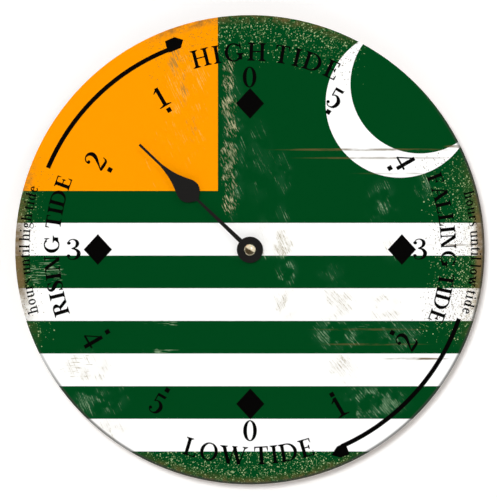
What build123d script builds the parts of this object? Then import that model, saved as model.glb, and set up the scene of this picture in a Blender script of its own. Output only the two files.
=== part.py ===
from build123d import *
import math
import os

# Tide clock in millimetres: a printed board dial with one hand, on a battery quartz movement.
# The origin is on the hand arbor where the movement meets the wall. +X is the viewer's right, +Z is up.
# Depths are distances out from the wall, so the dial and hand have the largest ones.
# The battery sets the movement's width and depth, and the train, coil and battery set its height.

# Dial
dial_diameter = 304.8
board_thickness = 6.0
face_thickness = 0.3
dial_hole_clearance = 0.2

# Battery
battery_radius = 7.1
battery_length = 49.1
battery_shoulder = 0.8
battery_cap_radius = 2.7
battery_cap_height = 1.4
battery_seal_inset = 1.2
battery_seal_thickness = 0.3
battery_back_gap = 0.5
battery_front_gap = 0.1
battery_side_gap = 0.3

# Contacts
contact_thickness = 0.3
contact_half_height = 5.0
contact_back_gap = 2.0
contact_front_gap = 1.8
contact_strip_width = 4.0
contact_slot_clearance = 0.1
contact_cap_gap = 0.4
leaf_reach = 2.0
leaf_gap = 0.1
leaf_half_height = 4.4
leaf_flat_half_height = 1.0
leaf_side_inset = 2.0
finger_lap = 1.5
positive_finger_rise = 3.0
positive_finger_width = 3.0

# Movement case
wall_thickness = 1.2
case_corner_radius = 3.0
partition_thickness = 1.2
room_gap = 3.2
cover_gap = 0.1
notch_width = 14.0
notch_depth = 6.0

# Threaded bush, nut and washers
bush_radius = 4.0
bush_flange_radius = 5.2
bush_flange_thickness = 0.7
bush_end_above_nut = 0.5
rubber_washer_radius = 10.0
rubber_washer_thickness = 1.0
brass_washer_radius = 6.6
brass_washer_thickness = 0.6
nut_across_flats = 11.0
nut_thickness = 2.5
fixing_hole_clearance = 0.1

# Hanger plate
hanger_thickness = 1.0
hanger_half_width = 9.0
hanger_shelf_gap = 0.2
hanger_upright_depth = 8.0
hanger_head_rise = 3.0
keyhole_rise = 7.0
keyhole_radius = 4.5
keyhole_slot_width = 3.5
keyhole_slot_length = 8.0

# Hand: stations as shares of its length, with half widths as shares of the bulb's
hand_angle = 46.4
hand_thickness = 0.5
hand_hub_radius = 8.5
hand_length = 98.8
hand_stem_half_width = 1.55
hand_bulb_half_width = 7.5
hand_neck_shares = [(0.4717, 0.107), (0.4798, 0.253), (0.496, 0.56), (0.5223, 0.88), (0.5486, 1.0)]
hand_bulb_shares = [(0.5749, 0.987), (0.6002, 0.88), (0.6265, 0.72), (0.6528, 0.573), (0.6791, 0.44)]
hand_flare_shares = [(0.7055, 0.34), (0.7308, 0.26), (0.7571, 0.2), (0.7834, 0.147), (0.8097, 0.107)]
hand_gap_over_bush = 0.5

# Cap nut
cap_radius = 3.9
cap_rim_height = 0.8
cap_dome_height = 2.1
cap_hole_radius = 1.15
cap_hole_depth = 1.9

# Hand arbor
arbor_radius = 1.5
arbor_tip_radius = 1.1
arbor_tip_length = 2.2
arbor_shoulder_radius = 1.8
arbor_foot_length = 2.0
arbor_bore_clearance = 0.05
arbor_hole_clearance = 0.1

# Levels behind the front wall, as shares of the room's depth
level_four_wheel_share = 0.0675
level_drive_wheel_share = 0.1825
level_three_wheel_share = 0.27
level_two_wheel_share = 0.358
level_one_wheel_share = 0.446
level_plate_share = 0.54
level_stator_share = 0.135
level_magnet_share = 0.108
level_circuit_share = 0.378

# Tooth counts and modules of the train, from the motor to the hand
leaf_count = 6
wheel_one_teeth = 38
wheel_two_teeth = 46
wheel_three_teeth = 46
wheel_four_teeth = 46
drive_wheel_teeth = 47
module_one = 0.22
module_two = 0.21
module_three = 0.23
module_four = 0.245
module_drive = 0.31
setting_wheel_teeth = 28
setting_pinion_teeth = 14
module_setting = 0.35

# Directions of the arbors from one another, in degrees from +X towards +Z
angle_drive_to_four = 200.0
angle_four_to_three = 150.0
angle_three_to_two = 120.0
angle_two_to_one = 60.0
angle_one_to_rotor = 90.0
angle_hand_to_knob = 35.0

# Tooth shapes, as shares of the module and of the tooth pitch
wheel_addendum_share = 0.8
wheel_dedendum_share = 1.4
wheel_tip_share = 0.16
leaf_addendum_share = 0.7
leaf_dedendum_share = 1.3
leaf_tip_share = 0.2
leaf_root_share = 0.46

# Thin round rods and their holes have few sides, to keep the model light
small_round_sides = 12

# Wheels, spindles and their pivot holes
wheel_thickness = 0.8
pinion_overhang = 0.1
spindle_radius = 0.34
pivot_clearance = 0.05
pivot_length = 0.6
pivot_hole_depth = 0.7
end_shake = 0.1

# Friction clutch of the hand
collar_radius = 3.0
collar_thickness = 0.6
clutch_ring_outer_radius = 2.7
clutch_ring_inner_radius = 1.7
clutch_spring_thickness = 0.2
clutch_arm_reach = 4.6
clutch_arm_width = 1.2
clutch_arm_count = 3
clutch_gap = 0.05
drive_wheel_clearance = 0.06

# Motor
magnet_radius = 2.2
magnet_thickness = 1.8
stator_thickness = 1.0
stator_hole_radius = 2.7
stator_half_height = 4.2
stator_side_gap = 1.7
stator_leg_width = 2.8
core_width = 2.8
core_thickness = 1.2
winding_radius = 2.8
bobbin_tube_radius = 1.85
bobbin_flange_half_height = 3.1
bobbin_flange_thickness = 0.7
bobbin_leg_gap = 1.0
bobbin_slot_clearance = 0.05
coil_stator_gap = 0.9
coil_wall_gap = 0.4
coil_screw_radius = 0.8
coil_screw_head_radius = 1.3
coil_screw_head_thickness = 0.7
coil_screw_grip = 1.4
coil_post_side = 2.8

# Circuit board, with places on it as shares of its width and height
circuit_thickness = 0.8
circuit_width = 11.4
circuit_right_gap = 1.4
circuit_top_gap = 0.2
circuit_bottom_gap = 4.8
circuit_pin_radius = 0.65
circuit_pin_height = 0.4
circuit_post_side = 2.6
circuit_post_inset = 1.8
circuit_low_post_share = 0.6
negative_finger_shares = (0.1, 0.35)
positive_finger_share = 0.75
chip_radius = 2.6
chip_height = 1.0
chip_shares = (0.5, 0.48)
crystal_radius = 1.0
crystal_length = 6.0
crystal_shares = (0.25, 0.74)

# Middle plate and its screws
plate_thickness = 1.0
plate_wall_gap = 4.2
plate_partition_gap = 1.0
plate_circuit_gap = 2.0
plate_coil_gap = 0.8
plate_post_side = 3.0
plate_post_inset = 1.6
plate_screw_radius = 0.8
plate_screw_head_radius = 1.4
plate_screw_head_thickness = 0.8
plate_screw_length = 4.0

# Cover posts and screws
cover_post_side = 3.4
cover_post_stator_gap = 1.0
post_contact_gap = 0.1
cover_screw_radius = 0.6
cover_screw_head_radius = 1.1
cover_screw_head_thickness = 0.6
cover_screw_length = 5.0
screw_head_clearance = 0.1

# Setting wheels, knob and its recess
setting_thickness = 1.0
setting_plate_gap = 0.4
setting_boss_gap = 0.2
setting_floor_gap = 0.3
pivot_boss_wall = 0.65
recess_boss_gap = 0.15
recess_wall = 0.8
recess_floor_thickness = 0.8
knob_side_gap = 0.6
knob_floor_gap = 0.3
knob_inset = 0.3
knob_flutes = 12
knob_flute_depth = 0.4
knob_flute_share = 0.25
knob_shaft_radius = 1.2
knob_shaft_end = 0.6
knob_shaft_clearance = 0.06


def step_to(start, distance, angle):
    """Gives the point at a distance and an angle from a start point."""
    turn = math.radians(angle)
    return (start[0] + distance * math.cos(turn), start[1] + distance * math.sin(turn))


def arbor_distance(teeth_a, teeth_b, module):
    """Gives the distance between the arbors of two wheels in mesh."""
    return module * (teeth_a + teeth_b) / 2


# Movement sizes worked out from the battery
case_inner_half = (
    2 * contact_thickness + leaf_reach + leaf_gap + battery_length + battery_cap_height + contact_cap_gap) / 2
case_half = case_inner_half + wall_thickness
front_wall = battery_back_gap + 2 * battery_radius + battery_front_gap
case_depth = front_wall + wall_thickness
trough_height = 2 * (battery_radius + battery_side_gap)

# Depths from the wall, front to back
hanger_front = case_depth + hanger_thickness
rubber_front = hanger_front + rubber_washer_thickness
board_front = rubber_front + board_thickness
face_front = board_front + face_thickness
washer_front = face_front + brass_washer_thickness
nut_front = washer_front + nut_thickness
bush_front = nut_front + bush_end_above_nut
hand_back = bush_front + hand_gap_over_bush
hand_front = hand_back + hand_thickness
bush_flange_back = front_wall - bush_flange_thickness
four_wheel_front = front_wall * (1 - level_four_wheel_share)
drive_front = front_wall * (1 - level_drive_wheel_share)
drive_back = drive_front - wheel_thickness
three_wheel_front = front_wall * (1 - level_three_wheel_share)
two_wheel_front = front_wall * (1 - level_two_wheel_share)
one_wheel_front = front_wall * (1 - level_one_wheel_share)
plate_front = front_wall * (1 - level_plate_share)
plate_back = plate_front - plate_thickness
stator_front = front_wall * (1 - level_stator_share)
stator_back = stator_front - stator_thickness
core_back = stator_back - core_thickness
coil_axis_depth = core_back + core_thickness / 2
magnet_front = front_wall * (1 - level_magnet_share)
magnet_back = magnet_front - magnet_thickness
circuit_front = front_wall * (1 - level_circuit_share)
circuit_back = circuit_front - circuit_thickness
strip_near = circuit_back - contact_thickness
strip_far = strip_near + contact_strip_width
setting_back = plate_back - setting_plate_gap - setting_thickness
setting_front = setting_back + setting_thickness
boss_front = setting_back - setting_boss_gap
recess_floor_front = setting_back - setting_floor_gap
recess_depth = recess_floor_front - recess_floor_thickness
arbor_back = setting_back - arbor_foot_length

# Places of the arbors, as seen from the front
hand_place = (0, 0)
drive_distance = arbor_distance(leaf_count, drive_wheel_teeth, module_drive)
four_distance = arbor_distance(leaf_count, wheel_four_teeth, module_four)
three_distance = arbor_distance(leaf_count, wheel_three_teeth, module_three)
two_distance = arbor_distance(leaf_count, wheel_two_teeth, module_two)
one_distance = arbor_distance(leaf_count, wheel_one_teeth, module_one)
four_place = step_to(hand_place, drive_distance, angle_drive_to_four)
three_place = step_to(four_place, four_distance, angle_four_to_three)
two_place = step_to(three_place, three_distance, angle_three_to_two)
one_place = step_to(two_place, two_distance, angle_two_to_one)
rotor_place = step_to(one_place, one_distance, angle_one_to_rotor)
setting_distance = arbor_distance(setting_wheel_teeth, setting_pinion_teeth, module_setting)
knob_place = step_to(hand_place, setting_distance, angle_hand_to_knob)
train_places = [four_place, three_place, two_place, one_place, rotor_place]

# Heights of the room over the battery trough: the drive wheel sets its floor and the coil its top
drive_tip_radius = module_drive * (drive_wheel_teeth / 2 + wheel_addendum_share)
room_low = -(drive_tip_radius + room_gap)
trough_top = room_low - partition_thickness
trough_low = trough_top - trough_height
battery_height = trough_low + trough_height / 2
case_low = trough_low - wall_thickness
coil_axis_height = rotor_place[1] + stator_half_height + coil_stator_gap + bobbin_flange_half_height
room_high = coil_axis_height + bobbin_flange_half_height + coil_wall_gap
case_high = room_high + wall_thickness
keyhole_height = case_high + keyhole_rise
keyhole_slot_top = keyhole_height + keyhole_slot_length
hanger_head_height = keyhole_height + hanger_head_rise

# Motor, circuit board, plate and posts in the room
stator_left = -(case_inner_half - stator_side_gap)
stator_right = 2 * rotor_place[0] - stator_left
coil_posts = [
    (stator_left + stator_leg_width / 2, coil_axis_height),
    (stator_right - stator_leg_width / 2, coil_axis_height)]
winding_end_room = stator_leg_width + bobbin_leg_gap + bobbin_flange_thickness
winding_length = stator_right - stator_left - 2 * winding_end_room
circuit_right = case_inner_half - circuit_right_gap
circuit_left = circuit_right - circuit_width
circuit_low = room_low + circuit_bottom_gap
circuit_high = room_high - cover_post_side - circuit_top_gap
circuit_height = circuit_high - circuit_low
circuit_posts = [
    (circuit_left + circuit_post_inset, circuit_high - circuit_post_inset),
    (circuit_left + circuit_low_post_share * circuit_width, circuit_low + circuit_post_inset)]
plate_left = -(case_inner_half - plate_wall_gap)
plate_right = circuit_left - plate_circuit_gap
plate_low = room_low + plate_partition_gap
plate_high = coil_axis_height - bobbin_flange_half_height - plate_coil_gap
plate_posts = [
    (plate_left + plate_post_inset, plate_low + plate_post_inset),
    (plate_right - plate_post_inset, plate_high - plate_post_inset)]
plain_post = (plate_right - plate_post_inset, plate_low + plate_post_inset)
cover_post_half = cover_post_side / 2
post_past_contact = contact_thickness + post_contact_gap + cover_post_half
cover_posts = [
    (stator_right + cover_post_stator_gap + cover_post_half, room_high - cover_post_half),
    (case_inner_half - cover_post_half, room_high - cover_post_half),
    (case_inner_half - post_past_contact, room_low + cover_post_half),
    (post_past_contact - case_inner_half, room_low + post_past_contact)]

# Knob and its recess, between the pivot boss and the pinion
pivot_boss_radius = arbor_radius + pivot_clearance + pivot_boss_wall
recess_radius = setting_distance - pivot_boss_radius - recess_boss_gap
knob_radius = recess_radius - knob_side_gap
knob_front = recess_depth - knob_floor_gap


def slab(shape, depth_from, depth_to):
    """Extrudes a flat shape, drawn as seen from the front, between two depths."""
    return extrude(Plane.XZ.offset(depth_from) * shape, depth_to - depth_from)


def rod(radius, depth_from, depth_to, place=(0, 0)):
    """Makes a round rod along the arbor direction."""
    return slab(Pos(place[0], place[1]) * Circle(radius), depth_from, depth_to)


def block(left, right, low, high, depth_from, depth_to):
    """Makes a box from its left, right, low and high sides and two depths."""
    shape = Pos((left + right) / 2, (low + high) / 2) * Rectangle(right - left, high - low)
    return slab(shape, depth_from, depth_to)


def peg(radius, depth_from, depth_to, place):
    """Makes a thin rod whose corners lie on its radius, or the cut for one that fits it tightly."""
    shape = Pos(place[0], place[1]) * RegularPolygon(radius, small_round_sides)
    return slab(shape, depth_from, depth_to)


def loose_hole(radius, depth_from, depth_to, place):
    """Makes the cut for a thin rod that turns or passes, with its flats on the radius."""
    shape = Pos(place[0], place[1]) * RegularPolygon(radius, small_round_sides, major_radius=False)
    return slab(shape, depth_from, depth_to)


def post(side, place, depth_from, depth_to):
    """Makes a square post centred on a place."""
    return slab(Pos(place[0], place[1]) * Rectangle(side, side), depth_from, depth_to)


def bar(radius, left, right, depth, height):
    """Makes a round bar along X."""
    turned = Rot(0, 90, 0) * Cylinder(radius, right - left)
    return Pos((left + right) / 2, -depth, height) * turned


def wheel_teeth(teeth, module, place, first_angle):
    """Draws a wheel of tapered teeth that meet in V shaped roots."""
    tip_radius = module * (teeth / 2 + wheel_addendum_share)
    root_radius = module * (teeth / 2 - wheel_dedendum_share)
    pitch_angle = 360.0 / teeth
    tip_half = wheel_tip_share * pitch_angle / 2
    points = []
    for index in range(teeth):
        middle = first_angle + index * pitch_angle
        points.append(step_to(place, root_radius, middle - pitch_angle / 2))
        points.append(step_to(place, tip_radius, middle - tip_half))
        points.append(step_to(place, tip_radius, middle + tip_half))
    return make_face(Polyline(*points, close=True))


def pinion_teeth(module, place, first_angle):
    """Draws a six leaf pinion with flat roots."""
    tip_radius = module * (leaf_count / 2 + leaf_addendum_share)
    root_radius = module * (leaf_count / 2 - leaf_dedendum_share)
    pitch_angle = 360.0 / leaf_count
    tip_half = leaf_tip_share * pitch_angle / 2
    root_half = leaf_root_share * pitch_angle / 2
    points = []
    for index in range(leaf_count):
        middle = first_angle + index * pitch_angle
        points.append(step_to(place, root_radius, middle - root_half))
        points.append(step_to(place, tip_radius, middle - tip_half))
        points.append(step_to(place, tip_radius, middle + tip_half))
        points.append(step_to(place, root_radius, middle + root_half))
    return make_face(Polyline(*points, close=True))


def gap_angle(teeth, towards):
    """Gives the first tooth's angle of a wheel that has a gap in a direction."""
    return towards + 180.0 / teeth


def train_wheel(teeth, module_wheel, module_leaf, wheel_front, driven_front, place, from_driver, to_driven):
    """Makes one moulded wheel with its pinion, on a spindle from plate to front wall."""
    wheel_back = wheel_front - wheel_thickness
    pinion_from = min(driven_front - wheel_thickness - pinion_overhang, wheel_front)
    pinion_to = max(driven_front + pinion_overhang, wheel_back)
    teeth_shape = wheel_teeth(teeth, module_wheel, place, gap_angle(teeth, from_driver + 180.0))
    solid = peg(spindle_radius, plate_front - pivot_length, front_wall + pivot_length, place)
    solid += slab(teeth_shape, wheel_back, wheel_front)
    solid += slab(pinion_teeth(module_leaf, place, to_driven), pinion_from, pinion_to)
    return solid


def make_dial():
    """Makes the board and its printed face."""
    hole = bush_radius + dial_hole_clearance
    board = rod(dial_diameter / 2, rubber_front, board_front) - rod(hole, rubber_front, board_front)
    face = rod(dial_diameter / 2, board_front, face_front) - rod(hole, board_front, face_front)
    return {"dial_board": board, "dial_face": face}


def make_fixing():
    """Makes the bush, nut and washers that clamp the dial to the movement."""
    bore = rod(arbor_radius + arbor_bore_clearance, bush_flange_back, bush_front)
    bush = rod(bush_flange_radius, bush_flange_back, front_wall) + rod(bush_radius, front_wall, bush_front)
    hole = bush_radius + fixing_hole_clearance
    rubber = rod(rubber_washer_radius, hanger_front, rubber_front) - rod(hole, hanger_front, rubber_front)
    washer = rod(brass_washer_radius, face_front, washer_front) - rod(hole, face_front, washer_front)
    hexagon = RegularPolygon(nut_across_flats / 2, 6, major_radius=False)
    nut = slab(hexagon, washer_front, nut_front) - rod(bush_radius, washer_front, nut_front)
    return {"threaded_bush": bush - bore, "rubber_washer": rubber, "brass_washer": washer, "hex_nut": nut}


def make_hanger():
    """Makes the stamped hanger: a strip over the case front, a shelf over its top and a keyhole head."""
    shelf_low = case_high + hanger_shelf_gap
    shelf_high = shelf_low + hanger_thickness
    upright_back = hanger_upright_depth
    upright_front = hanger_upright_depth + hanger_thickness
    half = hanger_half_width
    plate = rod(half, case_depth, hanger_front)
    plate += block(-half, half, 0, shelf_high, case_depth, hanger_front)
    plate += block(-half, half, shelf_low, shelf_high, upright_back, hanger_front)
    plate += block(-half, half, shelf_low, hanger_head_height, upright_back, upright_front)
    plate += rod(half, upright_back, upright_front, (0, hanger_head_height))
    plate -= rod(bush_radius + fixing_hole_clearance, case_depth, hanger_front)
    slot_half = keyhole_slot_width / 2
    plate -= rod(keyhole_radius, upright_back, upright_front, (0, keyhole_height))
    plate -= block(-slot_half, slot_half, keyhole_height, keyhole_slot_top, upright_back, upright_front)
    plate -= rod(slot_half, upright_back, upright_front, (0, keyhole_slot_top))
    return {"hanger_plate": plate}


def make_case():
    """Makes the movement case with its battery trough, posts and pivot holes."""
    outline = RectangleRounded(2 * case_half, case_high - case_low, case_corner_radius)
    outer = slab(Pos(0, (case_low + case_high) / 2) * outline, 0, case_depth)
    room = block(-case_inner_half, case_inner_half, room_low, room_high, 0, front_wall)
    trough = block(-case_inner_half, case_inner_half, trough_low, trough_top, 0, front_wall)
    case = outer - room - trough
    case -= block(-notch_width / 2, notch_width / 2, case_low, trough_low, 0, notch_depth)
    for place in plate_posts + [plain_post]:
        case += post(plate_post_side, place, plate_front, front_wall)
    for place in plate_posts:
        case -= peg(plate_screw_radius, plate_front, plate_back + plate_screw_length, place)
    for place in cover_posts:
        case += post(cover_post_side, place, wall_thickness, front_wall)
        case -= peg(cover_screw_radius, wall_thickness, cover_screw_length, place)
    for place in coil_posts:
        case += post(coil_post_side, place, stator_front, front_wall)
        case -= peg(coil_screw_radius, stator_front, stator_front + coil_screw_grip, place)
    for place in circuit_posts:
        case += post(circuit_post_side, place, circuit_front, front_wall)
        case += peg(circuit_pin_radius, circuit_back - circuit_pin_height, circuit_front, place)
    for place in train_places:
        case -= loose_hole(spindle_radius + pivot_clearance, front_wall, front_wall + pivot_hole_depth, place)
    case -= rod(bush_radius, front_wall, case_depth)
    slot_near = strip_near - contact_slot_clearance
    slot_far = strip_far + contact_slot_clearance
    slot_inner = case_inner_half - contact_thickness - contact_slot_clearance
    case -= block(slot_inner, case_inner_half, trough_top, room_low, slot_near, slot_far)
    case -= block(-case_inner_half, -slot_inner, trough_top, room_low, slot_near, slot_far)
    return {"movement_case": case}


def make_cover():
    """Makes the back cover with the knob recess, the arbor's pivot boss and screw seats."""
    half = case_inner_half - cover_gap
    cover = block(-half, half, room_low + cover_gap, room_high - cover_gap, 0, wall_thickness)
    cover += rod(recess_radius + recess_wall, 0, recess_floor_front, knob_place)
    cover += rod(pivot_boss_radius, 0, boss_front, hand_place)
    cover -= rod(recess_radius, 0, recess_depth, knob_place)
    cover -= rod(knob_shaft_radius + knob_shaft_clearance, recess_depth, recess_floor_front, knob_place)
    cover -= rod(arbor_radius + pivot_clearance, arbor_back - end_shake, boss_front, hand_place)
    seat_radius = cover_screw_head_radius + screw_head_clearance
    for place in cover_posts:
        cover -= loose_hole(seat_radius, 0, cover_screw_head_thickness, place)
        cover -= peg(cover_screw_radius, cover_screw_head_thickness, wall_thickness, place)
    return {"back_cover": cover}


def make_screws():
    """Makes the cover, plate and coil screws."""
    screws = {}
    for index, place in enumerate(cover_posts):
        head = peg(cover_screw_head_radius, 0, cover_screw_head_thickness, place)
        shank = peg(cover_screw_radius, cover_screw_head_thickness, cover_screw_length, place)
        screws["cover_screw_%d" % (index + 1)] = head + shank
    for index, place in enumerate(plate_posts):
        head = peg(plate_screw_head_radius, plate_back - plate_screw_head_thickness, plate_back, place)
        shank = peg(plate_screw_radius, plate_back, plate_back + plate_screw_length, place)
        screws["plate_screw_%d" % (index + 1)] = head + shank
    for index, place in enumerate(coil_posts):
        head = peg(coil_screw_head_radius, core_back - coil_screw_head_thickness, core_back, place)
        shank = peg(coil_screw_radius, core_back, stator_front + coil_screw_grip, place)
        screws["coil_screw_%d" % (index + 1)] = head + shank
    return screws


def make_middle_plate():
    """Makes the plate that carries the back ends of the train's spindles in blind holes."""
    plate = block(plate_left, plate_right, plate_low, plate_high, plate_back, plate_front)
    plate -= rod(arbor_radius + arbor_hole_clearance, plate_back, plate_front, hand_place)
    plate -= loose_hole(spindle_radius + knob_shaft_clearance, plate_back, plate_front, knob_place)
    hole_radius = spindle_radius + pivot_clearance
    for place in train_places:
        plate -= loose_hole(hole_radius, plate_front - pivot_hole_depth, plate_front, place)
    for place in plate_posts:
        plate -= peg(plate_screw_radius, plate_back, plate_front, place)
    return {"middle_plate": plate}


def make_motor():
    """Makes the stator, the coil on its core, and the rotor."""
    leg_top = coil_axis_height + core_width / 2
    bar_low = rotor_place[1] - stator_half_height
    bar_high = rotor_place[1] + stator_half_height
    stator = block(stator_left, stator_right, bar_low, bar_high, stator_back, stator_front)
    for left in [stator_left, stator_right - stator_leg_width]:
        stator += block(left, left + stator_leg_width, bar_high, leg_top, stator_back, stator_front)
    stator -= rod(stator_hole_radius, stator_back, stator_front, rotor_place)
    core_low = coil_axis_height - core_width / 2
    core = block(stator_left, stator_right, core_low, leg_top, core_back, stator_back)
    for place in coil_posts:
        stator -= peg(coil_screw_radius, stator_back, stator_front, place)
        core -= peg(coil_screw_radius, core_back, stator_back, place)
    left = rotor_place[0] - winding_length / 2
    right = rotor_place[0] + winding_length / 2
    bobbin_left = left - bobbin_flange_thickness
    bobbin_right = right + bobbin_flange_thickness
    flange_low = coil_axis_height - bobbin_flange_half_height
    flange_high = coil_axis_height + bobbin_flange_half_height
    flange_near = coil_axis_depth - bobbin_flange_half_height
    flange_far = coil_axis_depth + bobbin_flange_half_height
    bobbin = bar(bobbin_tube_radius, bobbin_left, bobbin_right, coil_axis_depth, coil_axis_height)
    bobbin += block(bobbin_left, left, flange_low, flange_high, flange_near, flange_far)
    bobbin += block(right, bobbin_right, flange_low, flange_high, flange_near, flange_far)
    bobbin -= block(
        bobbin_left, bobbin_right, core_low - bobbin_slot_clearance, leg_top + bobbin_slot_clearance,
        core_back - bobbin_slot_clearance, stator_back + bobbin_slot_clearance)
    winding = bar(winding_radius, left, right, coil_axis_depth, coil_axis_height)
    winding -= bar(bobbin_tube_radius, left, right, coil_axis_depth, coil_axis_height)
    magnet = rod(magnet_radius, magnet_back, magnet_front, rotor_place)
    magnet -= peg(spindle_radius, magnet_back, magnet_front, rotor_place)
    pinion = pinion_teeth(module_one, rotor_place, angle_one_to_rotor + 180.0)
    pinion_back = one_wheel_front - wheel_thickness - pinion_overhang
    spindle = peg(spindle_radius, plate_front - pivot_length, front_wall + pivot_length, rotor_place)
    spindle += slab(pinion, pinion_back, one_wheel_front + pinion_overhang)
    return {
        "stator": stator, "coil_core": core, "coil_bobbin": bobbin, "coil_winding": winding,
        "rotor_magnet": magnet, "rotor_spindle": spindle}


def make_train():
    """Makes the four moulded wheels between the rotor and the drive wheel."""
    return {
        "wheel_1": train_wheel(
            wheel_one_teeth, module_one, module_two, one_wheel_front, two_wheel_front,
            one_place, angle_one_to_rotor + 180.0, angle_two_to_one + 180.0),
        "wheel_2": train_wheel(
            wheel_two_teeth, module_two, module_three, two_wheel_front, three_wheel_front,
            two_place, angle_two_to_one + 180.0, angle_three_to_two + 180.0),
        "wheel_3": train_wheel(
            wheel_three_teeth, module_three, module_four, three_wheel_front, four_wheel_front,
            three_place, angle_three_to_two + 180.0, angle_four_to_three + 180.0),
        "wheel_4": train_wheel(
            wheel_four_teeth, module_four, module_drive, four_wheel_front, drive_front,
            four_place, angle_four_to_three + 180.0, angle_drive_to_four + 180.0)}


def make_hand_drive():
    """Makes the arbor, the drive wheel on its friction clutch and the setting wheel."""
    spring_back = clutch_spring_back()
    collar_front = spring_back - clutch_gap
    collar_back = collar_front - collar_thickness
    arbor = rod(arbor_radius, arbor_back, hand_back)
    arbor += rod(arbor_shoulder_radius, drive_front + clutch_gap, bush_flange_back - end_shake)
    arbor += rod(arbor_tip_radius, hand_back, hand_back + arbor_tip_length)
    collar = rod(collar_radius, collar_back, collar_front) - rod(arbor_radius, collar_back, collar_front)
    teeth = wheel_teeth(
        drive_wheel_teeth, module_drive, hand_place, gap_angle(drive_wheel_teeth, angle_drive_to_four))
    drive = slab(teeth, drive_back, drive_front)
    drive -= rod(arbor_radius + drive_wheel_clearance, drive_back, drive_front)
    teeth = wheel_teeth(
        setting_wheel_teeth, module_setting, hand_place, gap_angle(setting_wheel_teeth, angle_hand_to_knob))
    setting = slab(teeth, setting_back, setting_front) - rod(arbor_radius, setting_back, setting_front)
    return {
        "hand_arbor": arbor, "clutch_collar": collar, "clutch_spring": make_clutch_spring(spring_back),
        "drive_wheel": drive, "setting_wheel": setting}


def clutch_spring_back():
    """Gives the depth of the clutch spring's ring, clear of the wheel that passes behind it."""
    return three_wheel_front + 2 * end_shake + clutch_gap + clutch_spring_thickness - wheel_thickness


def make_clutch_spring(ring_back):
    """Makes the three armed clutch spring, bowed between the collar and the drive wheel."""
    ring_front = ring_back + clutch_spring_thickness
    spring = rod(clutch_ring_outer_radius, ring_back, ring_front)
    for index in range(clutch_arm_count):
        profile = [
            (clutch_ring_inner_radius, ring_back), (clutch_arm_reach, drive_back - clutch_spring_thickness),
            (clutch_arm_reach, drive_back), (clutch_ring_inner_radius, ring_front)]
        corners = [(reach, -depth) for reach, depth in profile]
        arm = extrude(Plane.XY * make_face(Polyline(*corners, close=True)), clutch_arm_width / 2, both=True)
        spring += Rot(0, index * 360.0 / clutch_arm_count, 0) * arm
    return spring - rod(clutch_ring_inner_radius, ring_back, drive_back)


def make_knob():
    """Makes the setting knob and its pinion."""
    teeth = wheel_teeth(setting_pinion_teeth, module_setting, knob_place, angle_hand_to_knob + 180.0)
    pinion = slab(teeth, setting_back, setting_front)
    pinion += rod(knob_shaft_radius, knob_shaft_end, setting_back, knob_place)
    pinion += peg(spindle_radius, setting_front, plate_front - end_shake, knob_place)
    points = []
    for index in range(knob_flutes):
        middle = index * 360.0 / knob_flutes
        half = knob_flute_share * 360.0 / knob_flutes
        valley = knob_radius - knob_flute_depth
        points.append(step_to(knob_place, valley, middle - half))
        points.append(step_to(knob_place, knob_radius, middle - half / 2))
        points.append(step_to(knob_place, knob_radius, middle + half / 2))
        points.append(step_to(knob_place, valley, middle + half))
    knob = slab(make_face(Polyline(*points, close=True)), knob_inset, knob_front)
    knob -= rod(knob_shaft_radius, knob_shaft_end, knob_front, knob_place)
    return {"setting_pinion": pinion, "setting_knob": knob}


def circuit_point(shares):
    """Gives a place on the circuit board from its shares of the board's width and height."""
    return (circuit_left + shares[0] * circuit_width, circuit_low + shares[1] * circuit_height)


def make_circuit():
    """Makes the circuit board, the chip's resin dome and the crystal."""
    board = block(circuit_left, circuit_right, circuit_low, circuit_high, circuit_back, circuit_front)
    for place in circuit_posts:
        board -= peg(circuit_pin_radius, circuit_back, circuit_front, place)
    chip_place = circuit_point(chip_shares)
    crystal_place = circuit_point(crystal_shares)
    dome_radius = (chip_radius ** 2 + chip_height ** 2) / (2 * chip_height)
    dome_centre = circuit_back - chip_height + dome_radius
    chip = Pos(chip_place[0], -dome_centre, chip_place[1]) * Sphere(dome_radius)
    chip = chip & rod(chip_radius, circuit_back - chip_height, circuit_back, chip_place)
    crystal = Pos(crystal_place[0], -(circuit_back - crystal_radius), crystal_place[1])
    crystal = crystal * Cylinder(crystal_radius, crystal_length)
    return {"circuit_board": board, "chip_resin": chip, "crystal": crystal}


def make_contacts():
    """Makes the two battery contacts with their strips up to the circuit board."""
    inner = case_inner_half - contact_thickness
    low = battery_height - contact_half_height
    high = battery_height + contact_half_height
    far = front_wall - contact_front_gap
    finger_low = circuit_low + positive_finger_rise
    finger_high = finger_low + positive_finger_width
    finger_left = circuit_left + positive_finger_share * circuit_width
    positive = block(inner, case_inner_half, low, high, contact_back_gap, far)
    positive += block(inner, case_inner_half, high, finger_high, strip_near, strip_far)
    positive += block(finger_left, case_inner_half, finger_low, finger_high, strip_near, circuit_back)
    strip_high = room_low + contact_thickness
    finger_left = circuit_left + negative_finger_shares[0] * circuit_width
    finger_right = circuit_left + negative_finger_shares[1] * circuit_width
    negative = block(-case_inner_half, -inner, low, high, contact_back_gap, far)
    negative += block(-case_inner_half, -inner, high, strip_high, strip_near, strip_far)
    negative += block(-case_inner_half, finger_right, room_low, strip_high, strip_near, strip_far)
    negative += block(finger_left, finger_right, room_low, circuit_low + finger_lap, strip_near, circuit_back)
    return {"positive_contact": positive, "negative_contact": negative + make_leaf(-inner, far)}


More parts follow.
